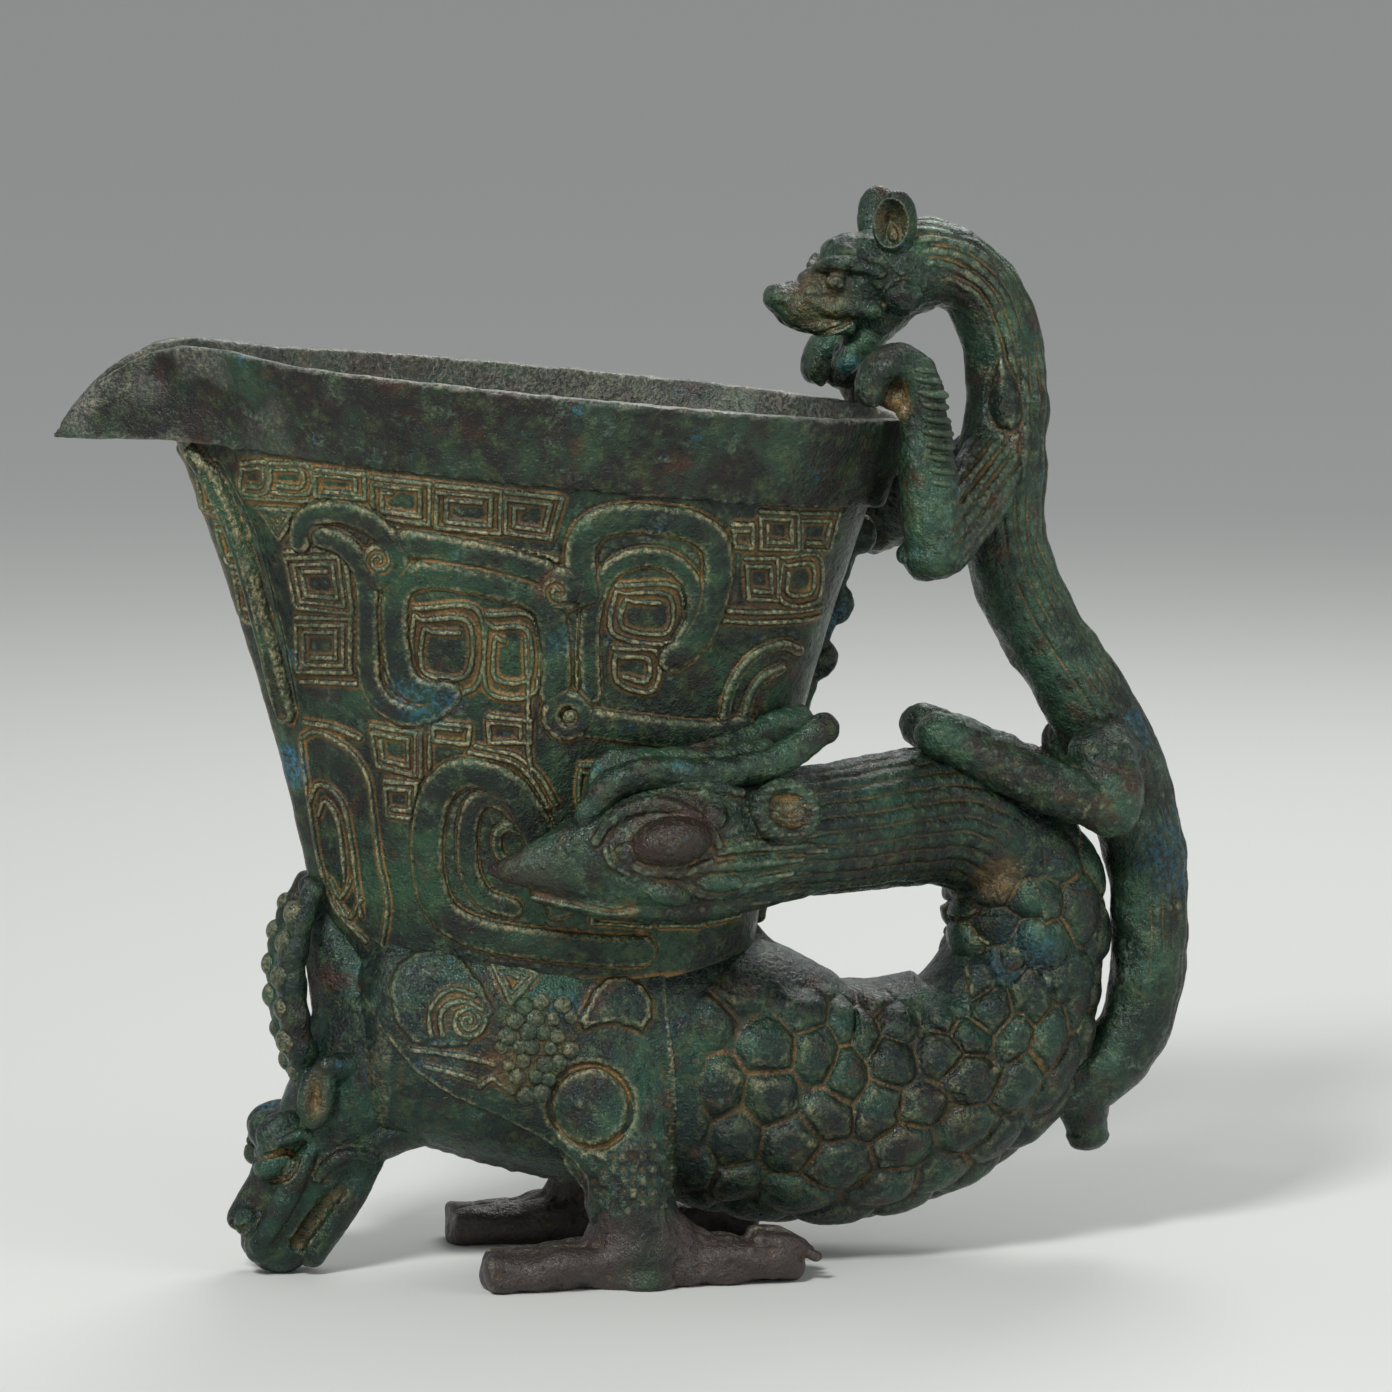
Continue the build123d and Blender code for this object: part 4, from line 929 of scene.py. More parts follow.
# Inside of the cup, from its floor to the band
hollow = {"rows": 60, "columns": 120, "outerShare": 0.35, "relief": (0.3, 4)}
insideLine = np.vstack([eggLine(hollow["columns"]), eggLine(hollow["columns"])[-2:0:-1] * (1, -1)])
insideTop = cup["bandFoot"] + cup["lap"]
rows, ring = hollow["rows"], len(insideLine)
shell = [cupPoints(np.linspace(low, 1, rows), insideLine, cup["wall"] * share, insideTop)
         for low, share in ((0.02, hollow["outerShare"]), (0.06, 1.0))]
insidePoints = np.vstack([wall.reshape(-1, 3) for wall in shell] + [wall[0].mean(0)[None] for wall in shell])
insideFaces = gridFaces(rows, ring, True)
insideFaces += [[i + rows * ring for i in face[::-1]] for face in insideFaces]
lastOuter, lastInner, tip = (rows - 1) * ring, (2 * rows - 1) * ring, 2 * rows * ring
for i in range(ring):
    n = (i + 1) % ring
    insideFaces.append([lastOuter + i, lastOuter + n, lastInner + n, lastInner + i])
    insideFaces.append([n, i, tip])
    insideFaces.append([rows * ring + i, rows * ring + n, tip + 1])
lining = makePiece("cup_lining", [{"points": insidePoints, "faces": insideFaces}])
dress(lining, hollow, ["cup_wall"], "cup_bronze", liningBronze)


def packedForm(node):
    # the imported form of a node, as points and faces
    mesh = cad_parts[node].data
    points = np.zeros(len(mesh.vertices) * 3, np.float32)
    mesh.vertices.foreach_get("co", points)
    faces = [list(face.vertices) for face in mesh.polygons]
    return {"points": points.reshape(-1, 3).astype(float) / mm, "faces": faces}


# Band of the mouth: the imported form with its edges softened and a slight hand-cast waver
band = {"skin": (0.5, 4), "relief": (0.25, 8), "waver": 0.06, "insideWear": 0.36, "lipWearAndSheen": 0.9,
        "beakWear": 0.6, "stains": [("blue", (-44, -14, 123), 4.0, 0.3)],
        "pairStains": [("earth", (-62, -5.5, 117.5), 5.0, 0.3)]}
rim = sculpt("rim_band_skin", [packedForm("rim_band")], *band["skin"])
rimPoints, _ = meshPoints(rim)
rimX, rimY, rimZ = rimPoints.T
raiseBy(rim, band["waver"] * np.sin(rimX * 0.55) * np.sin(rimZ * 0.8 + rimY * 0.5))
rimRelief = markRelief(rim, *band["relief"])
# the inside of the band, the top of its lip and the beak are paler; the paler top of the lip is wear and a
# painted highlight
rimPoints, rimNormals = meshPoints(rim)
rimOut = unit((rimPoints - (cup["middle"], 0, 0)) * (1, 2.4, 0))
inward = smoothStep(0.2, 0.6, -(rimNormals * rimOut).sum(1))
# the upward-facing lip is paled: painted highlight on its top, as well as wear
lip = smoothStep(0.6, 0.9, rimNormals[:, 2])
beak = (1 - smoothStep(-72, -30, rimPoints[:, 0])) * np.clip(0.35 + 1.2 * unevenness(rimPoints, 5.0), 0, 1)
rimWearAndSheen = band["insideWear"] * inward + band["lipWearAndSheen"] * lip + band["beakWear"] * beak
setAttribute(rim, "relief", np.maximum(rimRelief, rimWearAndSheen))
finishPiece(rim, ["rim_band"], "rim_bronze", rimBronze, band["stains"] + pairOf(band["pairStains"]))
print("stage: rim", len(rim.data.polygons))


def onPiece(piece, pixels):
    return drawnLine([surfaceOf(piece)], smoothPath(pixels, 1.2))


def ringAt(centre, normal, radius, thickness, stretch=1.0):
    # a closed ring lying on a surface
    normal = unit(normal)
    side = unit(np.cross(normal, (0, 0, 1)))
    other = np.cross(normal, side)
    turn = np.linspace(0, 2 * math.pi, 25)[:-1]
    spokes = [stretch * math.cos(a) * side + math.sin(a) * other for a in turn]
    return [ball(np.asarray(centre) + radius * spoke, thickness, rounds=8) for spoke in spokes]


# Neck of the bird: scales at its foot, then ridges along it
neck = {"stations": [(57.4, 0, 37, 9.6, 9.6), (58, 0, 43, 10.8, 10.8), (57.8, 0, 52.1, 10.5, 10.5),
                     (53.6, -1, 60.2, 10.1, 10.1), (45.6, -3.5, 63.8, 9.8, 9.8), (36, -8.8, 64.2, 9.5, 9.5),
                     (27, -15.6, 64.2, 9.1, 9.1), (18, -20, 64.2, 8.8, 8.8), (11, -23.6, 64.5, 7.6, 8.6)],
        "ridges": 26, "rise": 0.55, "step": 0.34, "around": 210, "ridgesFrom": (24, 32), "scalesTo": (14, 26),
        "girth": 10.5, "relief": (0.3, 8),
        "stains": [("earth", (52, -9, 56), 5.0, 0.5), ("blue", (56, -10, 44), 7.0, 0.3)]}
neckForm = tube(neck["stations"], neck["step"] * coarse, int(neck["around"] / coarse), endCap=0.5)
neckPiece = makePiece("bird_neck_skin", [neckForm])
neckPoints, _ = meshPoints(neckPiece)
neckAlong, neckTurn = spineCoordinates(neckPoints, neckForm["frames"])
waver = 0.25 * np.sin(neckAlong * 0.35) + 0.12 * np.sin(neckAlong * 0.9 + neckTurn * 5)
ridgeZone = smoothStep(*neck["ridgesFrom"], neckAlong)
neckHeights = ridgeZone * neck["rise"] * (groove(neckTurn * neck["ridges"] + waver, 0.6) - 0.6)
# the scales end where the ridges begin
neckScales = scaleHeights(neckAlong + 3, neckTurn * neck["girth"])
neckHeights += (1 - smoothStep(*neck["scalesTo"], neckAlong)) * neckScales
raiseBy(neckPiece, neckHeights)
dress(neckPiece, neck, ["bird_neck"], "bird_bronze", birdBronze, neck["stains"])

# Head of the bird: beak, almond eye under a brow, ear ring and cheek feathers
birdHead = {
    "stations": [(22, -18, 64.2, 8.6, 8.8), (18, -20.2, 64.2, 8.6, 8.8), (9.1, -24.6, 64.4, 7.6, 9.3),
                 (0, -26.2, 64.0, 7.1, 9.4), (-7.9, -26.4, 62.6, 5.6, 7.4), (-15, -26, 61.6, 3.4, 4.6),
                 (-21, -24.8, 60.8, 1.5, 2.0), (-23.3, -24.0, 60.6, 0.6, 0.8)],
    # pixels, depths and half sizes
    "jaw": ([(538, 894), (570, 899), (620, 905), (690, 906), (760, 893), (830, 876)],
            [-25.2, -25.7, -26.4, -26.2, -24.0, -20.0], [1.3, 1.8, 2.3, 2.5, 2.1, 1.8]),
    # pixel, lift, radii and axis
    "lumps": {"eye": ((672, 841), -0.5, (3.5, 4.0, 5.9), (-1, 0.05, -0.18)),
              "temple": ((715, 815), -0.7, 2.1, (0, 0, 1)),
              "tearDuct": ((626, 853), -0.1, (1.5, 1.7, 1.7), (0, 0, 1)),
              "cheek": ((668, 893), 0.0, (1.9, 1.8, 3.4), (-1, 0, 0.35)),
              "cheekBack": ((716, 882), -0.1, (1.5, 1.4, 3.8), (-1, 0, 0.1)),
              "ear": ((779, 815), -1.6, (3.6, 4.6, 5.6), (-1, 0.3, 0))},
    # pixels, bead size and lift
    "rolls": {"upperLid": ([(596, 842), (608, 825), (630, 811), (656, 805), (684, 812), (705, 827),
                            (718, 844)], 1.25, 0.3),
              "lowerLid": ([(628, 864), (652, 871), (684, 871), (710, 862)], 0.9, 0.2),
              "brow": ([(587, 812), (592, 795), (606, 785), (640, 782), (700, 786), (740, 794)], 1.3, 0.2),
              "cheekFeather": ([(690, 868), (722, 866), (760, 862), (800, 858)], 0.95, 0.1),
              "topFeather": ([(720, 852), (752, 846), (790, 846), (824, 850)], 0.95, 0.1),
              "lowFeather": ([(690, 890), (716, 894), (748, 884), (790, 872)], 0.95, 0.1),
              "noseFold": ([(606, 850), (612, 862), (628, 872)], 0.8, 0.2)},
    "earPixel": (779, 815), "earRing": (3.3, 1.35, 1.3), "earLift": 2.0, "dentLift": 3.6, "dentDepth": 1.9,
    "dentWidth": 2.3, "slitLine": (0.55, 0.32),
    "slit": [(530, 893), (555, 899), (582, 905), (612, 911), (632, 908)],
    "eyeBrown": ((674, 842), 4.5, 0.72), "beakBrown": ((524, 884), 2.5, 0.6), "skin": (0.28, 5),
    "relief": (0.15, 8),
}
headForm = tube(birdHead["stations"], 0.6, 60)
headBase = makePiece("bird_head_base", [headForm])
headSurface = [surfaceOf(headBase)]
bpy.data.objects.remove(headBase)


def headSpot(pixel, lift=0.0):
    place, normal, _ = seenPoint(headSurface, pixel)
    return place + normal * lift


def headBead(pixels, size, lift):
    # a row of beads that the skin turns into a raised roll
    hits = [seenPoint(headSurface, pixel) for pixel in smoothPath(pixels, 3.0)]
    hits = [hit for hit in hits if hit is not None]
    sizes = size * (0.6 + 0.4 * np.sin(np.linspace(0, math.pi, len(hits))))
    return [ball(hit[0] + hit[1] * lift, wide, rounds=8) for hit, wide in zip(hits, sizes)]


jawPixels, jawDepths, jawSizes = birdHead["jaw"]
jawHalves = [(size * 1.3, size) for size in jawSizes]
headParts = [headForm, tube(stationsAt(jawPixels, jawDepths, jawHalves), 0.5, 36)]
headParts += [ball(headSpot(pixel, lift), radii, axis)
              for pixel, lift, radii, axis in birdHead["lumps"].values()]
for roll in birdHead["rolls"].values():
    headParts += headBead(*roll)
earPlace, earNormal, _ = seenPoint(headSurface, birdHead["earPixel"])
headParts += ringAt(earPlace + earNormal * birdHead["earLift"], earNormal, *birdHead["earRing"])
headPiece = sculpt("bird_head_skin", headParts, *birdHead["skin"])
headPoints, _ = meshPoints(headPiece)
slit = onPiece(headPiece, birdHead["slit"])
dent = earPlace + earNormal * birdHead["dentLift"]
headHeights = -lineHeights(headPoints, slit, *birdHead["slitLine"])
headHeights -= birdHead["dentDepth"] * bell(distanceFrom(headPoints, dent), birdHead["dentWidth"])
headHeights += 0.12 * groove(headPoints[:, 2] * 6.0) * smoothStep(9, 14, headPoints[:, 0])
raiseBy(headPiece, headHeights)
headBrown = [strength * (1 - smoothStep(start, 9, distanceFrom(headPoints, headSpot(pixel))))
             for pixel, start, strength in (birdHead["eyeBrown"], birdHead["beakBrown"])]
dress(headPiece, birdHead, ["bird_head"], "bird_bronze", handleBronze,
      [("earth", dent - earNormal * 2, 3.2, 0.35), ("earth", slit[-6], 2.4, 0.45)],
      brown=np.maximum(*headBrown))

# Plumes of the crest: a plate that rises from the brow and a roll beside it
plumes = {
    "near": {"roll": ([(588, 822), (602, 796), (622, 781), (660, 774), (712, 775), (760, 767), (794, 751),
                       (816, 733), (826, 728)],
                      [-27.6, -28.0, -28.4, -28.6, -28.4, -27.8, -27.0, -26.2, -25.8], 2.05),
             "plate": ([(596, 806), (606, 770), (626, 762), (670, 762), (716, 760), (764, 752)],
                       [-25.8, -26.0, -26.2, -26.2, -25.8, -25.0], 1.9)},
    "far": {"roll": ([(604, 800), (622, 772), (660, 764), (702, 754), (744, 740), (782, 724), (800, 719)],
                     [-23.4, -22.8, -22.2, -21.0, -19.4, -17.6, -16.8], 1.9),
            "plate": ([(600, 812), (614, 784), (650, 774), (700, 768)], [-24.2, -24.0, -23.4, -22.6], 1.8)},
}
plumeLook = {"skin": (0.24, 3), "relief": (0.2, 8, 0.3), "deepen": 1.12,
             "stains": [("earth", (18, -24, 75), 5.0, 0.5)]}
for name, forms in plumes.items():
    parts = []
    for path, depths, size in forms.values():
        halves = [(size, size * plumeLook["deepen"])] * len(path)
        parts.append(tube(stationsAt(path, depths, halves), 0.5, 36))
    plumePiece = sculpt("bird_crest_" + name + "_skin", parts, *plumeLook["skin"])
    dress(plumePiece, plumeLook, ["bird_crest_" + name], "bird_bronze", handleBronze, plumeLook["stains"])
print("stage: bird neck and head")

# Legs of the bird: a shin that rises into the thigh, and a flat foot with claws
birdLeg = {
    "shin": [(-5.5, -13.2, 39.0, 3.6, 5.6), (-5.0, -15.4, 26, 4.2, 6.0), (-3.4, -17.0, 16, 4.9, 6.0),
             (-2.6, -17.5, 11.5, 5.3, 6.1), (-2.2, -17.5, 8.4, 5.5, 7.2), (-1.8, -17.5, 6.0, 5.7, 10.0),
             (-1.6, -17.5, 4.0, 5.8, 14.5)],
    "toes": [(-2, -17.5, 3.5, 5.6, 4.4, 2.6), (-10, -17.6, 3.1, 5.6, 3.4, 2.9),
             (-17, -17.7, 2.8, 5.7, 2.9, 3.1), (-22.8, -17.6, 2.8, 5.4, 2.7, 3.1)],
    "heel": [(-3, -17.5, 3.3, 5.4, 4.4, 2.6), (8, -17.5, 3.1, 5.0, 3.5, 2.6), (16, -17.5, 3.0, 4.9, 3.2, 2.6),
             (20.4, -17.5, 3.0, 4.7, 2.9, 2.6)],
    "bone": [(-1.6, -21.2, 14.5, 1.6, 2.4), (-0.9, -22.0, 8, 1.8, 3.0), (-0.5, -22.1, 1, 2.0, 3.8)],
    "claw": [(15.5, 6.0, 1.5, 1.2), (20.5, 5.5, 1.4, 1.2), (23.6, 3.6, 0.9, 0.9)],
    "clawY": (-20.4, -17.5, -14.6), "middle": 17.5, "toeGap": 1.7, "toeCut": 0.55,
    # rise and size of the lumps; depth, size and start of the pits
    "lumps": ((0.9, 6.5), (0.4, 3.2)), "pits": (0.5, 1.9, 0.25), "skin": (0.3, 4), "relief": (0.22, 8),
}
legForms = [tube(birdLeg["shin"], 0.5, 56, endCap=0.2), tube(birdLeg["toes"], 0.6, 56, endCap=0.3),
            tube(birdLeg["heel"], 0.6, 56, endCap=0.6), tube(birdLeg["bone"], 0.6, 32)]
legForms += [tube([(x, y, z, wide, deep) for x, z, wide, deep in birdLeg["claw"]], 0.6, 24)
             for y in birdLeg["clawY"]]
for side, name in sides:
    legPiece = sculpt("bird_leg_" + name + "_skin", onSide(legForms, side), *birdLeg["skin"])
    legPoints, legNormals = meshPoints(legPiece)
    pitDepth, pitSize, pitFrom = birdLeg["pits"]
    lumps = sum(rise * unevenness(legPoints, size) for rise, size in birdLeg["lumps"])
    lumps -= pitDepth * np.clip(unevenness(legPoints, pitSize) - pitFrom, 0, 1)
    toes = smoothStep(5, 10, np.abs(legPoints[:, 0] + 1)) * np.clip(legNormals[:, 2], 0, 1)
    fromMiddle = np.abs(np.abs(legPoints[:, 1]) - birdLeg["middle"])
    lumps -= birdLeg["toeCut"] * toes * bell(fromMiddle - birdLeg["toeGap"], 0.5)
    legPoints = legPoints + legNormals * lumps[:, None]
    placePoints(legPiece, legPoints)
    middleBone = bell(legPoints[:, 0] + 0.8, 3.2) * smoothStep(17.5, 20.5, np.abs(legPoints[:, 1]))
    dress(legPiece, birdLeg, ["bird_leg_" + name], "foot_bronze", footBronze,
          brown=(1 - smoothStep(9, 13, legPoints[:, 2])) * (1 - 0.8 * middleBone))
print("stage: bird legs")

# Horned head that carries the front: brow, eye, cheek, nose, open mouth and jaw
frontHead = {
    "stations": [(-24, 0, 37.8, 13, 13), (-33, 0, 34.4, 12.4, 12.6), (-40.4, 0, 24.4, 9.4, 9.2),
                 (-46.0, 0, 15.2, 7.0, 7.6), (-49.6, 0, 8.6, 5.6, 6.2), (-50.6, 0, 5.2, 4.8, 5.0)],
    "nose": ((249, 1216), (3.2, 2.6, 2.4)), "forehead": ((269, 1130), (3.0, 3.2, 3.0)),
    "throat": ([(350, 1136), (378, 1126), (408, 1118), (448, 1108)],
               [(8.0, 5.2), (8.6, 4.6), (9.0, 4.2), (9.4, 4.2)]),
    # pixels, depths and half sizes of each roll
    "rolls": {"cheek": ([(314, 1144), (298, 1172), (284, 1202), (270, 1226), (258, 1244)],
                        [-6.8, -7.2, -6.4, -5.2, -4.0], [1.2, 1.7, 1.8, 1.6, 1.5]),
              "jaw": ([(364, 1156), (340, 1206), (312, 1248)], [-3.6, -3.6, -3.2], [3.0, 2.8, 2.3]),
              "bridge": ([(276, 1140), (268, 1174), (255, 1199), (241, 1217)], [0, 0, 0, 0],
                         [2.8, 2.6, 2.5, 2.1]),
              "jawRidge": ([(374, 1158), (352, 1154), (332, 1162), (318, 1178)], [-7.6, -8.4, -8.2, -7.4],
                           [0.9, 1.0, 1.0, 0.8]),
              "browEdge": ([(258, 1152), (268, 1148), (286, 1140), (304, 1134), (312, 1142)],
                           [-4.4, -6.4, -7.6, -7.6, -7.0], [0.8, 0.9, 0.9, 0.9, 0.8]),
              "prow": ([(311, 886), (322, 914), (342, 952), (372, 1000)], [0, 0, 0, 0],
                       [1.8, 3.0, 5.8, 9.5])},
    # pixel, depth, radii and axis of each lump
    "lumps": {"brow": ((282, 1132), -5.0, (2.9, 2.5, 4.0), (0.94, 0.15, 0.33)),
              "eye": ((272, 1165), -6.0, (2.1, 2.2, 2.8), (0.9, 0.2, 0.4)),
              "noseSide": ((248, 1221), -2.6, (2.0, 2.0, 2.3), (0.5, 0, 0.8)),
              "lip": ((262, 1245), -2.4, (2.6, 2.6, 2.4), (0, 0, 1))},
    "mouth": [(338, 1190), (326, 1204), (312, 1222), (298, 1242)], "mouthLine": (1.5, 0.75), "chinDrop": 0.55,
    # pixels, half width and depth of the cut lines
    "cuts": {"eye": ([(254, 1160), (268, 1156), (286, 1152), (296, 1160), (288, 1176), (272, 1182)],
                     0.6, 0.5),
             "nostril": ([(232, 1224), (238, 1230), (245, 1228)], 0.7, 0.7)},
    "skin": (0.3, 4), "relief": (0.25, 8), "pairStains": [("blue", (-36, -12, 30), 5.0, 0.4)],
}
throatPixels, throatHalves = frontHead["throat"]
frontParts = [tube(frontHead["stations"], 0.7, 64)]
frontParts += [ball(spotAt(pixel, 0), radii) for pixel, radii in (frontHead["nose"], frontHead["forehead"])]
frontParts.append(tube(stationsAt(throatPixels, [0] * len(throatPixels), throatHalves), 0.6, 48))
for path, depths, sizes in frontHead["rolls"].values():
    form = tube(stationsAt(path, depths, [(size, size) for size in sizes]), 0.5, 28)
    frontParts += [form, flipped(form)]
for pixel, depth, radii, axis in frontHead["lumps"].values():
    form = ball(spotAt(pixel, depth), radii, axis)
    frontParts += [form, flipped(form)]
frontPiece = sculpt("front_beast_head_skin", frontParts, *frontHead["skin"])
frontPoints, frontNormals = meshPoints(frontPiece)
frontSlit = mirrored(onPiece(frontPiece, frontHead["mouth"]))
slitDepth = 1.3 * smoothStep(15.5, 9.0, frontPoints[:, 2]) + 0.25 * unevenness(frontPoints, 1.6)
frontHeights = -lineHeights(frontPoints, frontSlit, *frontHead["mouthLine"]) * slitDepth
frontHeights -= sum(lineHeights(frontPoints, mirrored(onPiece(frontPiece, path)), half, depth)
                    for path, half, depth in frontHead["cuts"].values())
frontPoints = frontPoints + frontNormals * frontHeights[:, None]
frontPoints[:, 2] -= frontHead["chinDrop"] * (1 - smoothStep(0.5, 6.0, frontPoints[:, 2]))
placePoints(frontPiece, frontPoints)
slitStains = [("earth", place, 1.5, 0.25) for place in frontSlit[::3]]
dress(frontPiece, frontHead, ["front_beast_head"], "bird_bronze", birdBronze,
      slitStains + pairOf(frontHead["pairStains"]))

# Horns with broad knobs, and drooping ears
horn = {"stations": [(-44.6, -4.7, 25.5, 2.4, 2.4), (-47.6, -5.1, 31.4, 2.4, 2.3),
                     (-49.0, -5.7, 38.3, 2.4, 2.2), (-49.2, -5.7, 45.4, 2.3, 2.1),
                     (-47.8, -5.2, 51.2, 2.1, 1.9), (-45.8, -4.4, 55.4, 1.7, 1.6)],
        "waver": 0.15, "skin": (0.26, 3), "relief": (0.2, 8)}
frontEar = {"lobe": ((317, 1096), -9.6, (1.9, 2.7, 5.0), (0.2, 0.1, 1.0)),
            "root": (-38.5, -7.4, 31.5, 2.2, 2.2), "rootEnd": ((326, 1068), -9.4, (1.7, 1.9)),
            "middle": ((316, 1098), -11.6), "hollow": (1.3, 2.4, 3.0),
            "depth": 1.5, "farShift": (1.4, 0.4, 1.2), "facing": (-0.2, 0.95, 0.0), "earth": 0.9,
            "skin": (0.24, 4), "relief": (0.2, 8)}
lobePixel, lobeDepth, lobeRadii, lobeAxis = frontEar["lobe"]
rootPixel, rootDepth, rootHalf = frontEar["rootEnd"]
earForm = [ball(spotAt(lobePixel, lobeDepth), lobeRadii, lobeAxis),
           tube([frontEar["root"], tuple(spotAt(rootPixel, rootDepth)) + rootHalf], 0.6, 28)]
# the far ear lies back a little, out of sight from the near side
farEarForm = [{**form, "points": form["points"] + frontEar["farShift"]} for form in earForm]
hornForm = tube(horn["stations"], 0.5, 40)
for side, name in sides:
    hornPiece = sculpt("front_horn_" + name + "_skin", onSide([hornForm], side), *horn["skin"])
    hornPoints, _ = meshPoints(hornPiece)
    raiseBy(hornPiece, horn["waver"] * np.sin(hornPoints[:, 2] * 1.35 + 1.0) * (hornPoints[:, 0] < -40))
    dress(hornPiece, horn, ["front_horn_" + name], "bird_bronze", birdBronze)
    forms = onSide(earForm if side < 0 else farEarForm, side)
    earPiece = sculpt("front_ear_" + name + "_skin", forms, *frontEar["skin"])
    earPoints, earNormals = meshPoints(earPiece)
    facing = np.clip(earNormals @ unit(np.array(frontEar["facing"]) * (1, side, 1)), 0, 1)
    fromMiddle = (earPoints - spotAt(*frontEar["middle"]) * (1, -side, 1)) / frontEar["hollow"]
    inside = bell(np.linalg.norm(fromMiddle, axis=1), 1.0)
    raiseBy(earPiece, -frontEar["depth"] * facing * inside)
    dress(earPiece, frontEar, ["front_ear_" + name], "bird_bronze", birdBronze,
          earth=frontEar["earth"] * facing * inside)
print("stage: front head")

# Trunk and neck of the climbing beast: ridges along its back, smooth inside
trunk = {"stations": [(58, 0, 25.2, 4.6, 4.6), (66, 0, 24, 5.0, 5.0), (71.9, 0, 28, 5.2, 5.1),
                      (75.5, 0, 35.4, 5.4, 5.3), (76.5, 0, 44.8, 5.6, 5.5), (75.8, 0, 56.6, 5.8, 5.8),
                      (72.5, 0, 68.3, 6.4, 6.4), (66.8, 0, 80, 6.0, 6.2), (60.8, 0, 88.9, 5.8, 6.0),
                      (56.3, 0, 97.7, 5.9, 6.0), (54.1, 0, 106.3, 6.0, 6.1), (54.3, 0, 114.9, 6.3, 6.3),
                      (54.9, 0, 123.5, 5.8, 5.8), (54, 0, 132.2, 5.6, 5.6), (50.3, 0, 139.7, 5.7, 5.7),
                      (44.4, 0, 143, 6.1, 6.1), (40.5, 0, 143, 6.1, 6.2)],
         "step": 0.36, "around": 150, "ridges": 20, "rise": 0.75, "lumps": (0.45, 4.2), "leafRise": 1.1,
         "leafGroove": 0.25, "relief": (0.22, 8), "ridgesFrom": (14, 30),
         "stains": [("blue", (80, -3, 58), 9.0, 0.4), ("blue", (74, -5, 76), 4.0, 0.5)],
         "leaf": [(1001, 360), (993, 384), (991, 408), (999, 425), (1012, 430), (1021, 416), (1017, 392),
                  (1008, 370)]}
trunkForm = tube(trunk["stations"], trunk["step"] * coarse, int(trunk["around"] / coarse), endCap=0.5)
trunkPiece = makePiece("handle_body_skin", [trunkForm])
trunkPoints, trunkNormals = meshPoints(trunkPiece)
trunkAlong, trunkTurn = spineCoordinates(trunkPoints, trunkForm["frames"])
trunkLength = trunkForm["frames"][-1][3]
outward = np.cos(trunkTurn + math.pi / 2)
backFace = smoothStep(-0.55, -0.1, outward)
swirl = 0.5 * np.sin(trunkAlong * 0.22) + 0.25 * np.sin(trunkAlong * 0.7 + trunkTurn * 4)
strong = smoothStep(trunkLength - 52, trunkLength - 34, trunkAlong)
trunkRidges = (groove(trunkTurn * trunk["ridges"] + swirl, 0.55) - 0.6) * backFace
trunkHeights = trunk["rise"] * (0.5 + 0.5 * strong) * trunkRidges
trunkHeights *= np.clip(0.75 + 0.9 * unevenness(trunkPoints, 6.0), 0.15, 1.2)
trunkEnd = smoothStep(trunkLength - 5, trunkLength - 1, trunkAlong)
trunkHeights *= smoothStep(*trunk["ridgesFrom"], trunkAlong) * (1 - trunkEnd)
trunkHeights += trunk["lumps"][0] * unevenness(trunkPoints, trunk["lumps"][1])
# a soft leaf on the shoulder
leafOutline = smoothPath(trunk["leaf"] + trunk["leaf"][:1], 4.0)[:-1]
leafInside = outlineDistance(photoPixels(trunkPoints), leafOutline)
leafSide = smoothStep(0.2, 0.5, np.abs(trunkNormals[:, 1]))
trunkHeights *= 1 - 0.8 * leafSide * smoothStep(-1.2, 0.2, leafInside)
leafRise = trunk["leafRise"] * smoothStep(-0.6, 1.6, leafInside)
trunkHeights += leafSide * (leafRise - trunk["leafGroove"] * bell(leafInside + 0.5, 0.4))
raiseBy(trunkPiece, trunkHeights)
dress(trunkPiece, trunk, ["handle_body"], "handle_bronze", handleBronze, trunk["stains"])

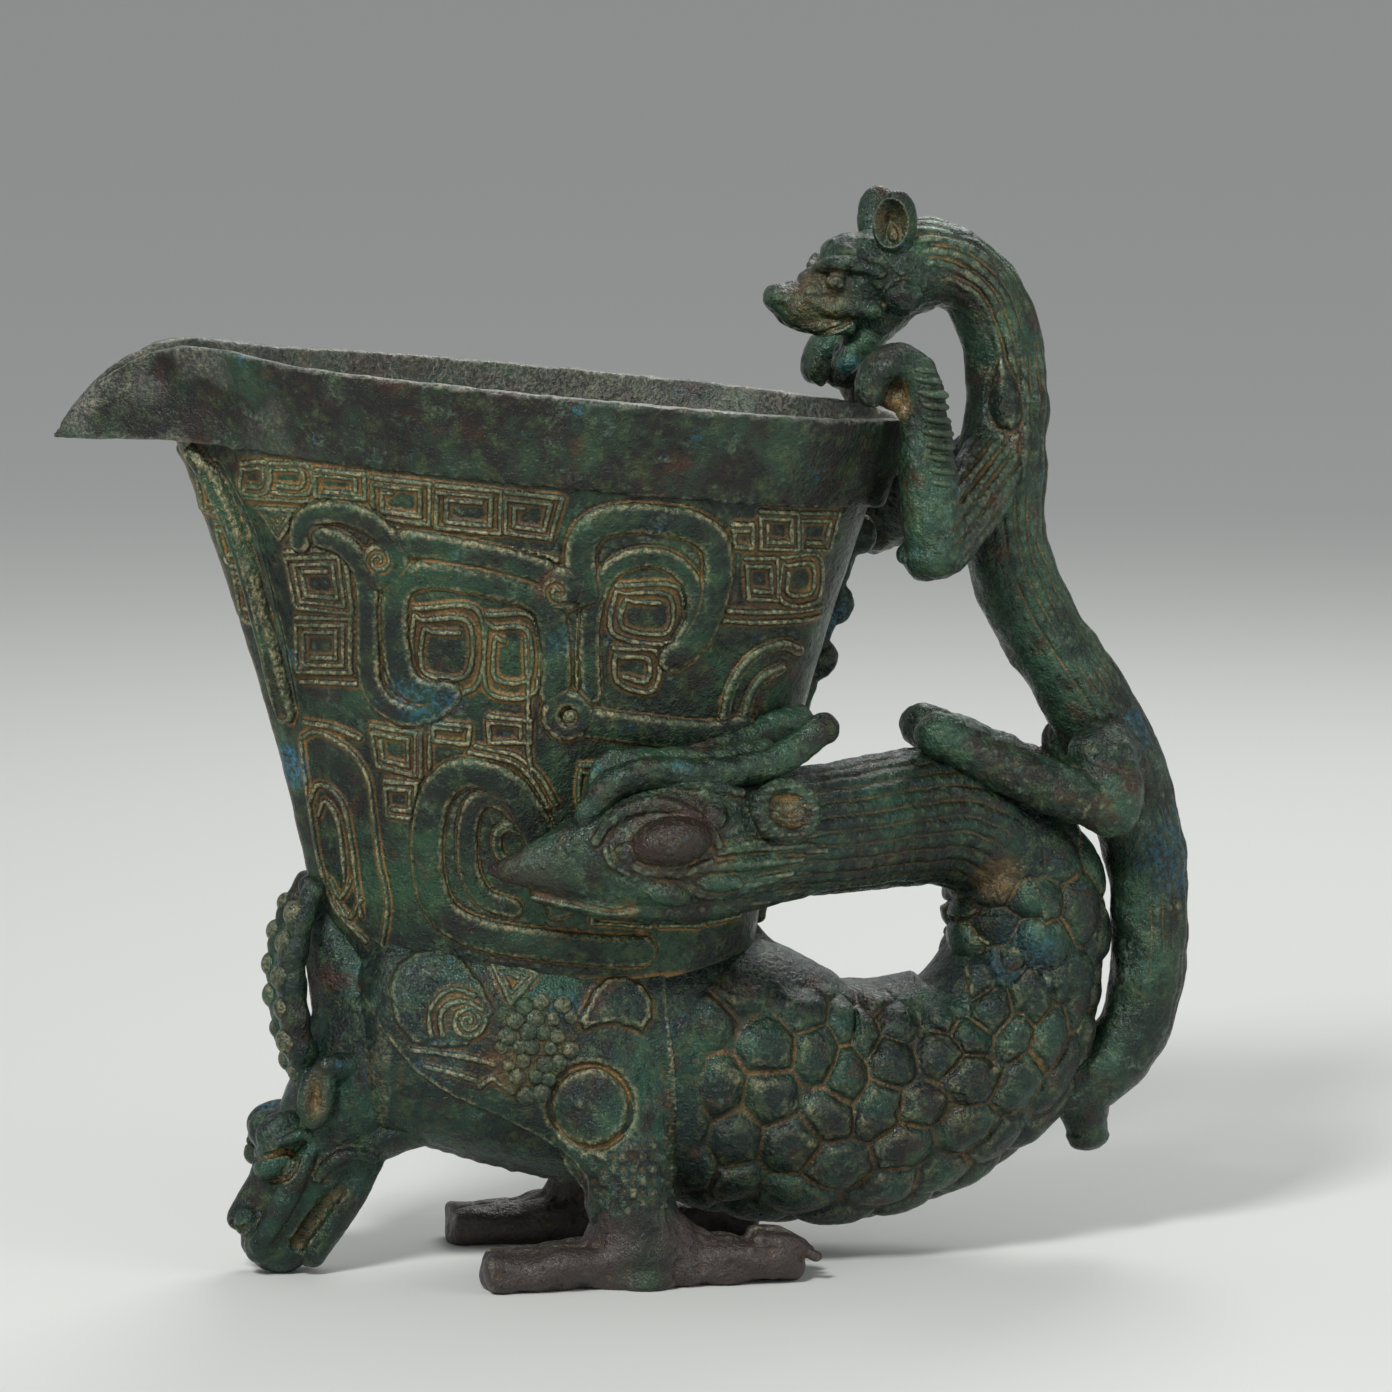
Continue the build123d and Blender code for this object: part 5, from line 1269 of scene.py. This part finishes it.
# Head of the climbing beast: open jaw, round forehead, brow, eye disc and cheek boss
skull = {
    "top": [(46, 0, 143, 5.8, 5.8), (40, 0, 142.2, 6.6, 6.7), (34.5, 0, 140.6, 6.2, 6.8),
            (29.6, 0, 138.5, 5.2, 5.3), (25, 0, 137.3, 4.4, 4.1), (21.8, 0, 138.2, 3.0, 2.3)],
    "jaw": [(38, 0, 138.0, 5.0, 4.0), (35, 0, 133.8, 3.9, 3.2), (32.6, 0, 130.2, 2.9, 2.4)],
    "forehead": ((33.4, 0, 143.8), (5.8, 6.0, 3.8)), "chin": ((31.6, 0, 129.4), (2.8, 1.8, 2.2)),
    # forms of the far side; the near side takes them with y below 0
    "brow": [(27.0, 2.2, 142.6, 0.9, 0.9), (28.4, 4.6, 143.2, 1.2, 1.2), (31.6, 5.8, 143.2, 1.3, 1.2),
             (35.4, 6.3, 142.2, 0.9, 0.9)],
    "upperLip": [(22.6, 1.8, 138.2, 1.1, 1.1), (26.0, 3.4, 137.6, 1.4, 1.4), (30.4, 4.4, 137.0, 1.5, 1.5),
                 (35.0, 5.0, 136.6, 1.2, 1.2)],
    "lowerLip": [(24.0, 2.2, 135.2, 0.9, 0.9), (27.0, 3.4, 134.2, 1.1, 1.1), (31.0, 4.0, 134.4, 1.1, 1.1)],
    "eye": ((28.9, 5.3, 140.8), (1.2, 1.2, 1.5), (1, 0, 0.1)),
    "cheek": ((38.6, 6.0, 138.6), (2.8, 2.8, 2.2), (0, 1, 0)),
    "beard": ((31.6, 2.2, 129.8), (1.6, 1.6, 2.6), (0.35, 0, 1)),
    "lipCut": [(800, 332), (820, 334), (836, 328), (850, 320)], "lipLine": (0.6, 0.5), "eyeLine": (0.8, 0.7),
    "lumps": (0.35, 2.4), "skin": (0.24, 4), "relief": (0.2, 8, 0.3),
    "stains": [("blue", (31.5, -3, 128.6), 2.6, 0.45)],
    "pairStains": [("earth", (26.4, -4.4, 138.4), 6.0, 0.3)],
}


def skullTube(key, side, around):
    return tube([(row[0], side * row[1]) + row[2:] for row in skull[key]], 0.5, around)


def skullBall(key, side):
    centre, radii, axis = skull[key]
    return ball(np.array(centre) * (1, side, 1), radii, np.array(axis) * (1, side, 1))


skullParts = [tube(skull["top"], 0.6, 56), tube(skull["jaw"], 0.6, 44), ball(*skull["forehead"]),
              ball(*skull["chin"])]
for side, _ in sides:
    skullParts += [skullTube("brow", side, 28), skullBall("eye", side), skullBall("cheek", side),
                   skullTube("upperLip", side, 24), skullTube("lowerLip", side, 24), skullBall("beard", side)]
skullPiece = sculpt("handle_head_skin", skullParts, *skull["skin"])
skullPoints, _ = meshPoints(skullPiece)
eyeRing = mirrored(np.array([(28.9 + 1.8 * math.cos(a), -6.0 - 0.3 * math.cos(a), 140.8 + 1.45 * math.sin(a))
                             for a in np.linspace(0, 6.28, 30)]))
lipLine = mirrored(onPiece(skullPiece, skull["lipCut"]))
skullHeights = -lineHeights(skullPoints, eyeRing, *skull["eyeLine"])
skullHeights -= lineHeights(skullPoints, lipLine, *skull["lipLine"])
raiseBy(skullPiece, skullHeights + skull["lumps"][0] * unevenness(skullPoints, skull["lumps"][1]))
dress(skullPiece, skull, ["handle_head"], "handle_bronze", handleBronze,
      skull["stains"] + pairOf(skull["pairStains"]))

# Cupped ears with a small knob inside
beastEar = {"lobe": ((37.4, -5.8, 149.0), (2.0, 3.2, 5.0), (0.0, -0.32, 1.0)),
            "root": [(38.4, -3.6, 145.0, 2.2, 2.4), (37.8, -4.9, 147.2, 2.0, 2.4)],
            "hollow": (36.4, 7.6, 149.0), "hollowSize": (2.5, 2.9, 3.7), "depth": 2.6,
            "knob": (36.9, 7.6, 147.2), "knobRise": 1.9, "knobSize": 0.95, "facing": (-0.5, 0.85, 0.1),
            "skin": (0.2, 3), "relief": (0.2, 6)}
earForms = [ball(*beastEar["lobe"]), tube(beastEar["root"], 0.5, 28)]
for side, name in sides:
    earPiece = sculpt("handle_ear_" + name + "_skin", onSide(earForms, side), *beastEar["skin"])
    earPoints, earNormals = meshPoints(earPiece)
    facing = np.clip(earNormals @ unit(np.array(beastEar["facing"]) * (1, side, 1)), 0, 1) ** 0.5
    hollowPlace, knobPlace = [np.array(beastEar[key]) * (1, side, 1) for key in ("hollow", "knob")]
    away = np.linalg.norm((earPoints - hollowPlace) / beastEar["hollowSize"], axis=1)
    knob = np.linalg.norm((earPoints - knobPlace) * (1, 0.3, 1), axis=1)
    knobRise = beastEar["knobRise"] * np.exp(-(knob / beastEar["knobSize"]) ** 4)
    raiseBy(earPiece, facing * (-beastEar["depth"] * np.clip(1 - away**2, 0, 1) ** 0.7 + knobRise))
    dress(earPiece, beastEar, ["handle_ear_" + name], "handle_bronze", handleBronze,
          [("earth", hollowPlace, 3.4, 0.45)])
print("stage: beast head")

# Forelegs: upper arm, forearm and a paw that curls over the rim
foreleg = {
    "upper": [(53.6, -1.5, 115.4, 4.6, 5.0), (47.6, -10.0, 109.8, 4.5, 5.0), (41.2, -19.2, 104.6, 4.1, 4.6)],
    "lower": [(40.4, -20.2, 103.6, 4.0, 4.3), (39.8, -20.1, 110, 4.0, 4.3), (39.0, -19.9, 118, 3.8, 3.9),
              (38.6, -19.8, 125.2, 3.6, 3.2), (37.4, -19.8, 129.2, 3.7, 2.9), (34.4, -19.8, 130.5, 3.8, 2.6),
              (31.8, -19.8, 128.9, 3.7, 2.5), (31.2, -19.8, 126.4, 3.3, 2.2)],
    "lumps": [((39.4, -19.6, 102.6), (3.6, 3.4, 3.2)), ((35.0, -19.0, 125.4), (2.0, 2.4, 2.0)),
              ((36.0, -20.4, 123.6), (1.6, 1.4, 1.7)), ((36.6, -18.6, 103.4), (1.6, 1.6, 1.6))],
    "claw": [(33.0, 130.3, 1.0, 0.9), (30.8, 128.6, 1.1, 1.0), (30.2, 126.2, 0.9, 0.9),
             (31.2, 124.8, 0.6, 0.6)],
    "clawY": (-22.2, -19.8, -17.4), "stripeRise": 0.7, "skin": (0.28, 4), "relief": (0.2, 8, 0.3),
    "stains": [("earth", (35.2, -20.6, 124.8), 3.2, 0.8), ("earth", (35.6, -21, 127.2), 2.0, 0.5)],
}
armForms = [tube(foreleg["upper"], 0.6, 52), tube(foreleg["lower"], 0.6, 52)]
armForms += [ball(*lump) for lump in foreleg["lumps"]]
armForms += [tube([(x, y, z, wide, deep) for x, z, wide, deep in foreleg["claw"]], 0.4, 24)
             for y in foreleg["clawY"]]
for side, name in sides:
    armPiece = sculpt("handle_foreleg_" + name + "_skin", onSide(armForms, side), *foreleg["skin"])
    armPoints, _ = meshPoints(armPiece)
    # stripes run along the upper arm
    stripes = photoPixels(armPoints) @ (0.8, 0.6)
    upperArm = smoothStep(41.8, 44.0, armPoints[:, 0])
    raiseBy(armPiece, foreleg["stripeRise"] * upperArm * (groove(stripes * 0.52, 0.6) - 0.7))
    dress(armPiece, foreleg, ["handle_foreleg_" + name], "handle_bronze", handleBronze,
          stainsOn(foreleg["stains"], side))

# Hind legs: haunch, hock and a foot on the bird's neck
hindleg = {
    "near": [(60.5, -11.6, 68.2), (53.3, -11.0, 71.4), (47, -10, 74.6), (43.2, -9.4, 76.4)],
    "far": [(60.5, 9.6, 68.2), (53.3, 6.0, 71.8), (47, 2.6, 74.8), (43.4, 0.9, 76.4)],
    "hock": (68.2, 12.0, 65.4), "halves": ((4.0, 4.0), (4.0, 3.9), (3.7, 3.6), (3.5, 3.4), (3.8, 3.4)),
    "heel": (2.6, 0.2, -2.6), "heelSize": (3.0, 3.0, 2.6),
    "haunch": [(72, 1, 69, 5.8, 5.8), (67.6, 7.4, 72.4, 5.0, 5.2), (68.4, 11.6, 67.4, 4.4, 4.4)],
    "hip": (65.6, 8.6, 73.0), "hipSize": (3.6, 3.2, 3.6), "skin": (0.3, 5), "relief": (0.22, 8, 0.4),
    "stains": [("blue", (70, -9, 71), 4.0, 0.7)],
}
for side, name in sides:
    x, y, z = hindleg["hock"]
    shank = [place + half for place, half in zip([(x, side * y, z)] + hindleg[name], hindleg["halves"])]
    haunch = [(row[0], side * row[1]) + row[2:] for row in hindleg["haunch"]]
    heel = np.array(hindleg[name][-1]) + hindleg["heel"]
    hindForms = [tube(shank, 0.6, 48), ball(heel, hindleg["heelSize"]), tube(haunch, 0.6, 48),
                 ball(np.array(hindleg["hip"]) * (1, side, 1), hindleg["hipSize"])]
    hindPiece = sculpt("handle_hindleg_" + name + "_skin", hindForms, *hindleg["skin"])
    dress(hindPiece, hindleg, ["handle_hindleg_" + name], "handle_bronze", handleBronze,
          stainsOn(hindleg["stains"], side))

# Tail: a short stub with a thick end
tail = {"stations": [(66.0, 0, 24, 5.0, 6.2), (66.8, 0, 20.6, 3.8, 4.2), (67.4, 0, 17.6, 3.1, 3.1),
                     (67.7, 0, 15.6, 3.0, 3.0)], "end": ((67.6, 0, 16.0), (3.2, 3.2, 1.5)),
        "skin": (0.26, 3), "relief": (0.2, 8)}
tailForms = [tube(tail["stations"], 0.5, 44, endCap=0.6), ball(*tail["end"])]
tailPiece = sculpt("handle_tail_skin", tailForms, *tail["skin"])
dress(tailPiece, tail, ["handle_tail"], "handle_bronze", handleBronze)
print("stage: beast limbs")


def studTree():
    # Geometry Nodes: one small dome on every point, turned along the point's own direction
    tree = bpy.data.node_groups.new("studs", "GeometryNodeTree")
    tree.interface.new_socket("Geometry", in_out="INPUT", socket_type="NodeSocketGeometry")
    tree.interface.new_socket("Geometry", in_out="OUTPUT", socket_type="NodeSocketGeometry")
    for label, kind in (("Stretch", "NodeSocketVector"), ("Spread", "NodeSocketFloat"),
                        ("Seed", "NodeSocketInt"), ("Finish", "NodeSocketMaterial")):
        tree.interface.new_socket(label, in_out="INPUT", socket_type=kind)
    given = addNode(tree, "NodeGroupInput").outputs
    named = addNode(tree, "GeometryNodeInputNamedAttribute", {"Name": "lie"}, data_type="FLOAT_VECTOR")
    lie = named.outputs[0]
    turned = addNode(tree, "FunctionNodeAlignRotationToVector", {"Vector": lie}, axis="Z").outputs[0]
    least = addNode(tree, "ShaderNodeMath", {0: 1.0, 1: given["Spread"]}, operation="SUBTRACT").outputs[0]
    most = addNode(tree, "ShaderNodeMath", {0: 1.0, 1: given["Spread"]}, operation="ADD").outputs[0]
    luck = addNode(tree, "FunctionNodeRandomValue", {2: least, 3: most, "Seed": given["Seed"]},
                   data_type="FLOAT")
    spread = {0: given["Stretch"], "Scale": luck.outputs[1]}
    size = addNode(tree, "ShaderNodeVectorMath", spread, operation="SCALE").outputs[0]
    dome = addNode(tree, "GeometryNodeMeshIcoSphere", {"Radius": 1.0, "Subdivisions": 3}).outputs[0]
    spots = addNode(tree, "GeometryNodeMeshToPoints", {0: given["Geometry"]}).outputs[0]
    placed = addNode(tree, "GeometryNodeInstanceOnPoints", {
        "Points": spots, "Instance": dome, "Rotation": turned, "Scale": size}).outputs[0]
    real = addNode(tree, "GeometryNodeRealizeInstances", {0: placed}).outputs[0]
    dressed = addNode(tree, "GeometryNodeSetMaterial", {0: real, "Material": given["Finish"]}).outputs[0]
    addNode(tree, "NodeGroupOutput", {0: dressed})
    return tree


studs = studTree()


def studPiece(name, places, directions, slot, material, stud):
    # the places and directions of the near side, and their mirror images
    mesh = bpy.data.meshes.new(name)
    mesh.from_pydata((mirrored(np.array(places)) * mm).tolist(), [], [])
    layer = mesh.attributes.new("lie", "FLOAT_VECTOR", "POINT")
    layer.data.foreach_set("vector", mirrored(np.array(directions)).astype(np.float32).ravel())
    piece = bpy.data.objects.new(name, mesh)
    bpy.context.scene.collection.objects.link(piece)
    rows = piece.modifiers.new("studs", "NODES")
    rows.node_group = studs
    settings = {"Stretch": [size * mm for size in stud["stretch"]], "Spread": stud["spread"],
                "Seed": stud["seed"], "Finish": material}
    for item in studs.interface.items_tree:
        if item.in_out == "INPUT" and item.name in settings:
            rows[item.identifier] = settings[item.name]
    settle(piece)
    # a constant relief pales the studs towards the ridge colour: wear and painted highlight
    setAttribute(piece, "relief", np.full(len(piece.data.vertices), stud["wearAndSheen"]))
    finishPiece(piece, [], slot, material)


# Granules on the breast and thigh of the bird
granule = {"stretch": (1.15, 1.15, 0.6), "spread": 0.22, "seed": 3, "wearAndSheen": 0.45, "corner": (492, 1004),
           "pitch": (17, 15), "rows": 8, "columns": 6, "jitter": 3,
           "outline": [(504, 1020), (530, 1004), (566, 1000), (574, 1030), (572, 1056), (552, 1082),
                       (532, 1106), (514, 1096), (502, 1078), (494, 1050)]}
pitchX, pitchY = granule["pitch"]
granulePixels = np.array([(pitchX * (column + 0.5 * (row % 2)), pitchY * row)
                          for row in range(granule["rows"]) for column in range(granule["columns"])])
granulePixels = granulePixels + granule["corner"]
granulePixels = granulePixels + chance.uniform(-granule["jitter"], granule["jitter"], granulePixels.shape)
granulePixels = granulePixels[outlineDistance(granulePixels, granule["outline"]) > -0.2]
granuleGround = [surfaceOf(breastPiece)]
granuleHits = [seenPoint(granuleGround, pixel) for pixel in granulePixels]
studPiece("bird_granules", [hit[0] for hit in granuleHits], [hit[1] for hit in granuleHits], "bird_bronze",
          birdBronze, granule)

# Knobs up the front of each horn
hornKnob = {"stretch": (1.8, 1.6, 1.6), "spread": 0.2, "seed": 5, "wearAndSheen": 0.45, "first": 5.0, "pitch": 4.6,
            "shift": (-1.3, -0.2, 0.0), "lie": (-1, 0, 0.1)}
hornRows = smoothPath([row[:3] for row in horn["stations"]], 0.4)
hornRun = runLength(hornRows)
hornMarks = np.searchsorted(hornRun, np.arange(hornKnob["first"], hornRun[-1] - 2.0, hornKnob["pitch"]))
studPiece("front_horn_knobs", hornRows[hornMarks] + hornKnob["shift"], [hornKnob["lie"]] * len(hornMarks),
          "bird_bronze", birdBronze, hornKnob)

# Ridges across the back of each forearm
armRidge = {"stretch": (2.5, 2.4, 0.85), "spread": 0.1, "seed": 8, "wearAndSheen": 0.2, "count": 10,
            "lie": (0.15, 0, 1.0),
            "path": [(37.6, -21.6, 130.0), (39.1, -21.8, 126.6), (39.9, -21.9, 121.4), (40.5, -22.0, 113.4)]}
armRows = smoothPath(armRidge["path"], 0.25)
armRun = runLength(armRows)
armMarks = np.searchsorted(armRun, np.linspace(0.3, armRun[-1] - 0.3, armRidge["count"]))
studPiece("handle_foreleg_ridges", armRows[armMarks], [armRidge["lie"]] * len(armMarks), "handle_bronze",
          handleBronze, armRidge)
print("stage: studs")

# Floor, light and camera
floorMesh = bpy.data.meshes.new("floor")
floorMesh.from_pydata([(-20, -20, 0), (20, -20, 0), (20, 20, 0), (-20, 20, 0)], [], [(0, 1, 2, 3)])
floor = bpy.data.objects.new("floor", floorMesh)
bpy.context.scene.collection.objects.link(floor)
floorPaint = bpy.data.materials.new("pale studio floor")  # matt painted board, near white
floorPaint.use_nodes = True
floorInputs = floorPaint.node_tree.nodes["Principled BSDF"].inputs
floorInputs["Base Color"].default_value = colour("#d2d3cf")
floorInputs["Roughness"].default_value = 0.8
floorMesh.materials.append(floorPaint)

# place, size and power of each lamp
lamps = {"key": ((-420, -640, 720), 200, 8.0), "fill": ((620, -560, 300), 420, 1.4),
         "back": ((260, 520, 600), 380, 2.4)}
for name, (place, size, power) in lamps.items():
    lamp = bpy.data.lights.new(name, "AREA")
    lamp.size = size * mm
    lamp.energy = power
    holder = bpy.data.objects.new(name, lamp)
    holder.location = Vector(place) * mm
    holder.rotation_euler = (Vector(view["target"]) - Vector(place)).to_track_quat("-Z", "Y").to_euler()
    bpy.context.scene.collection.objects.link(holder)

world = bpy.data.worlds.new("studio")
world.use_nodes = True
skyInputs = world.node_tree.nodes["Background"].inputs
skyInputs["Color"].default_value = colour("#dfe2e4")
skyInputs["Strength"].default_value = 0.52
bpy.context.scene.world = world

eye, _, _, ahead = cameraAxes()
lens = bpy.data.cameras.new("photo camera")
lens.lens = view["lens"]
lens.sensor_width = view["sensor"]
lens.clip_start = 0.01
camera = bpy.data.objects.new("photo camera", lens)
camera.location = Vector(eye * mm)
camera.rotation_euler = Vector(ahead).to_track_quat("-Z", "Y").to_euler()
bpy.context.scene.collection.objects.link(camera)
bpy.context.scene.camera = camera
bpy.context.scene.view_settings.view_transform = "Standard"
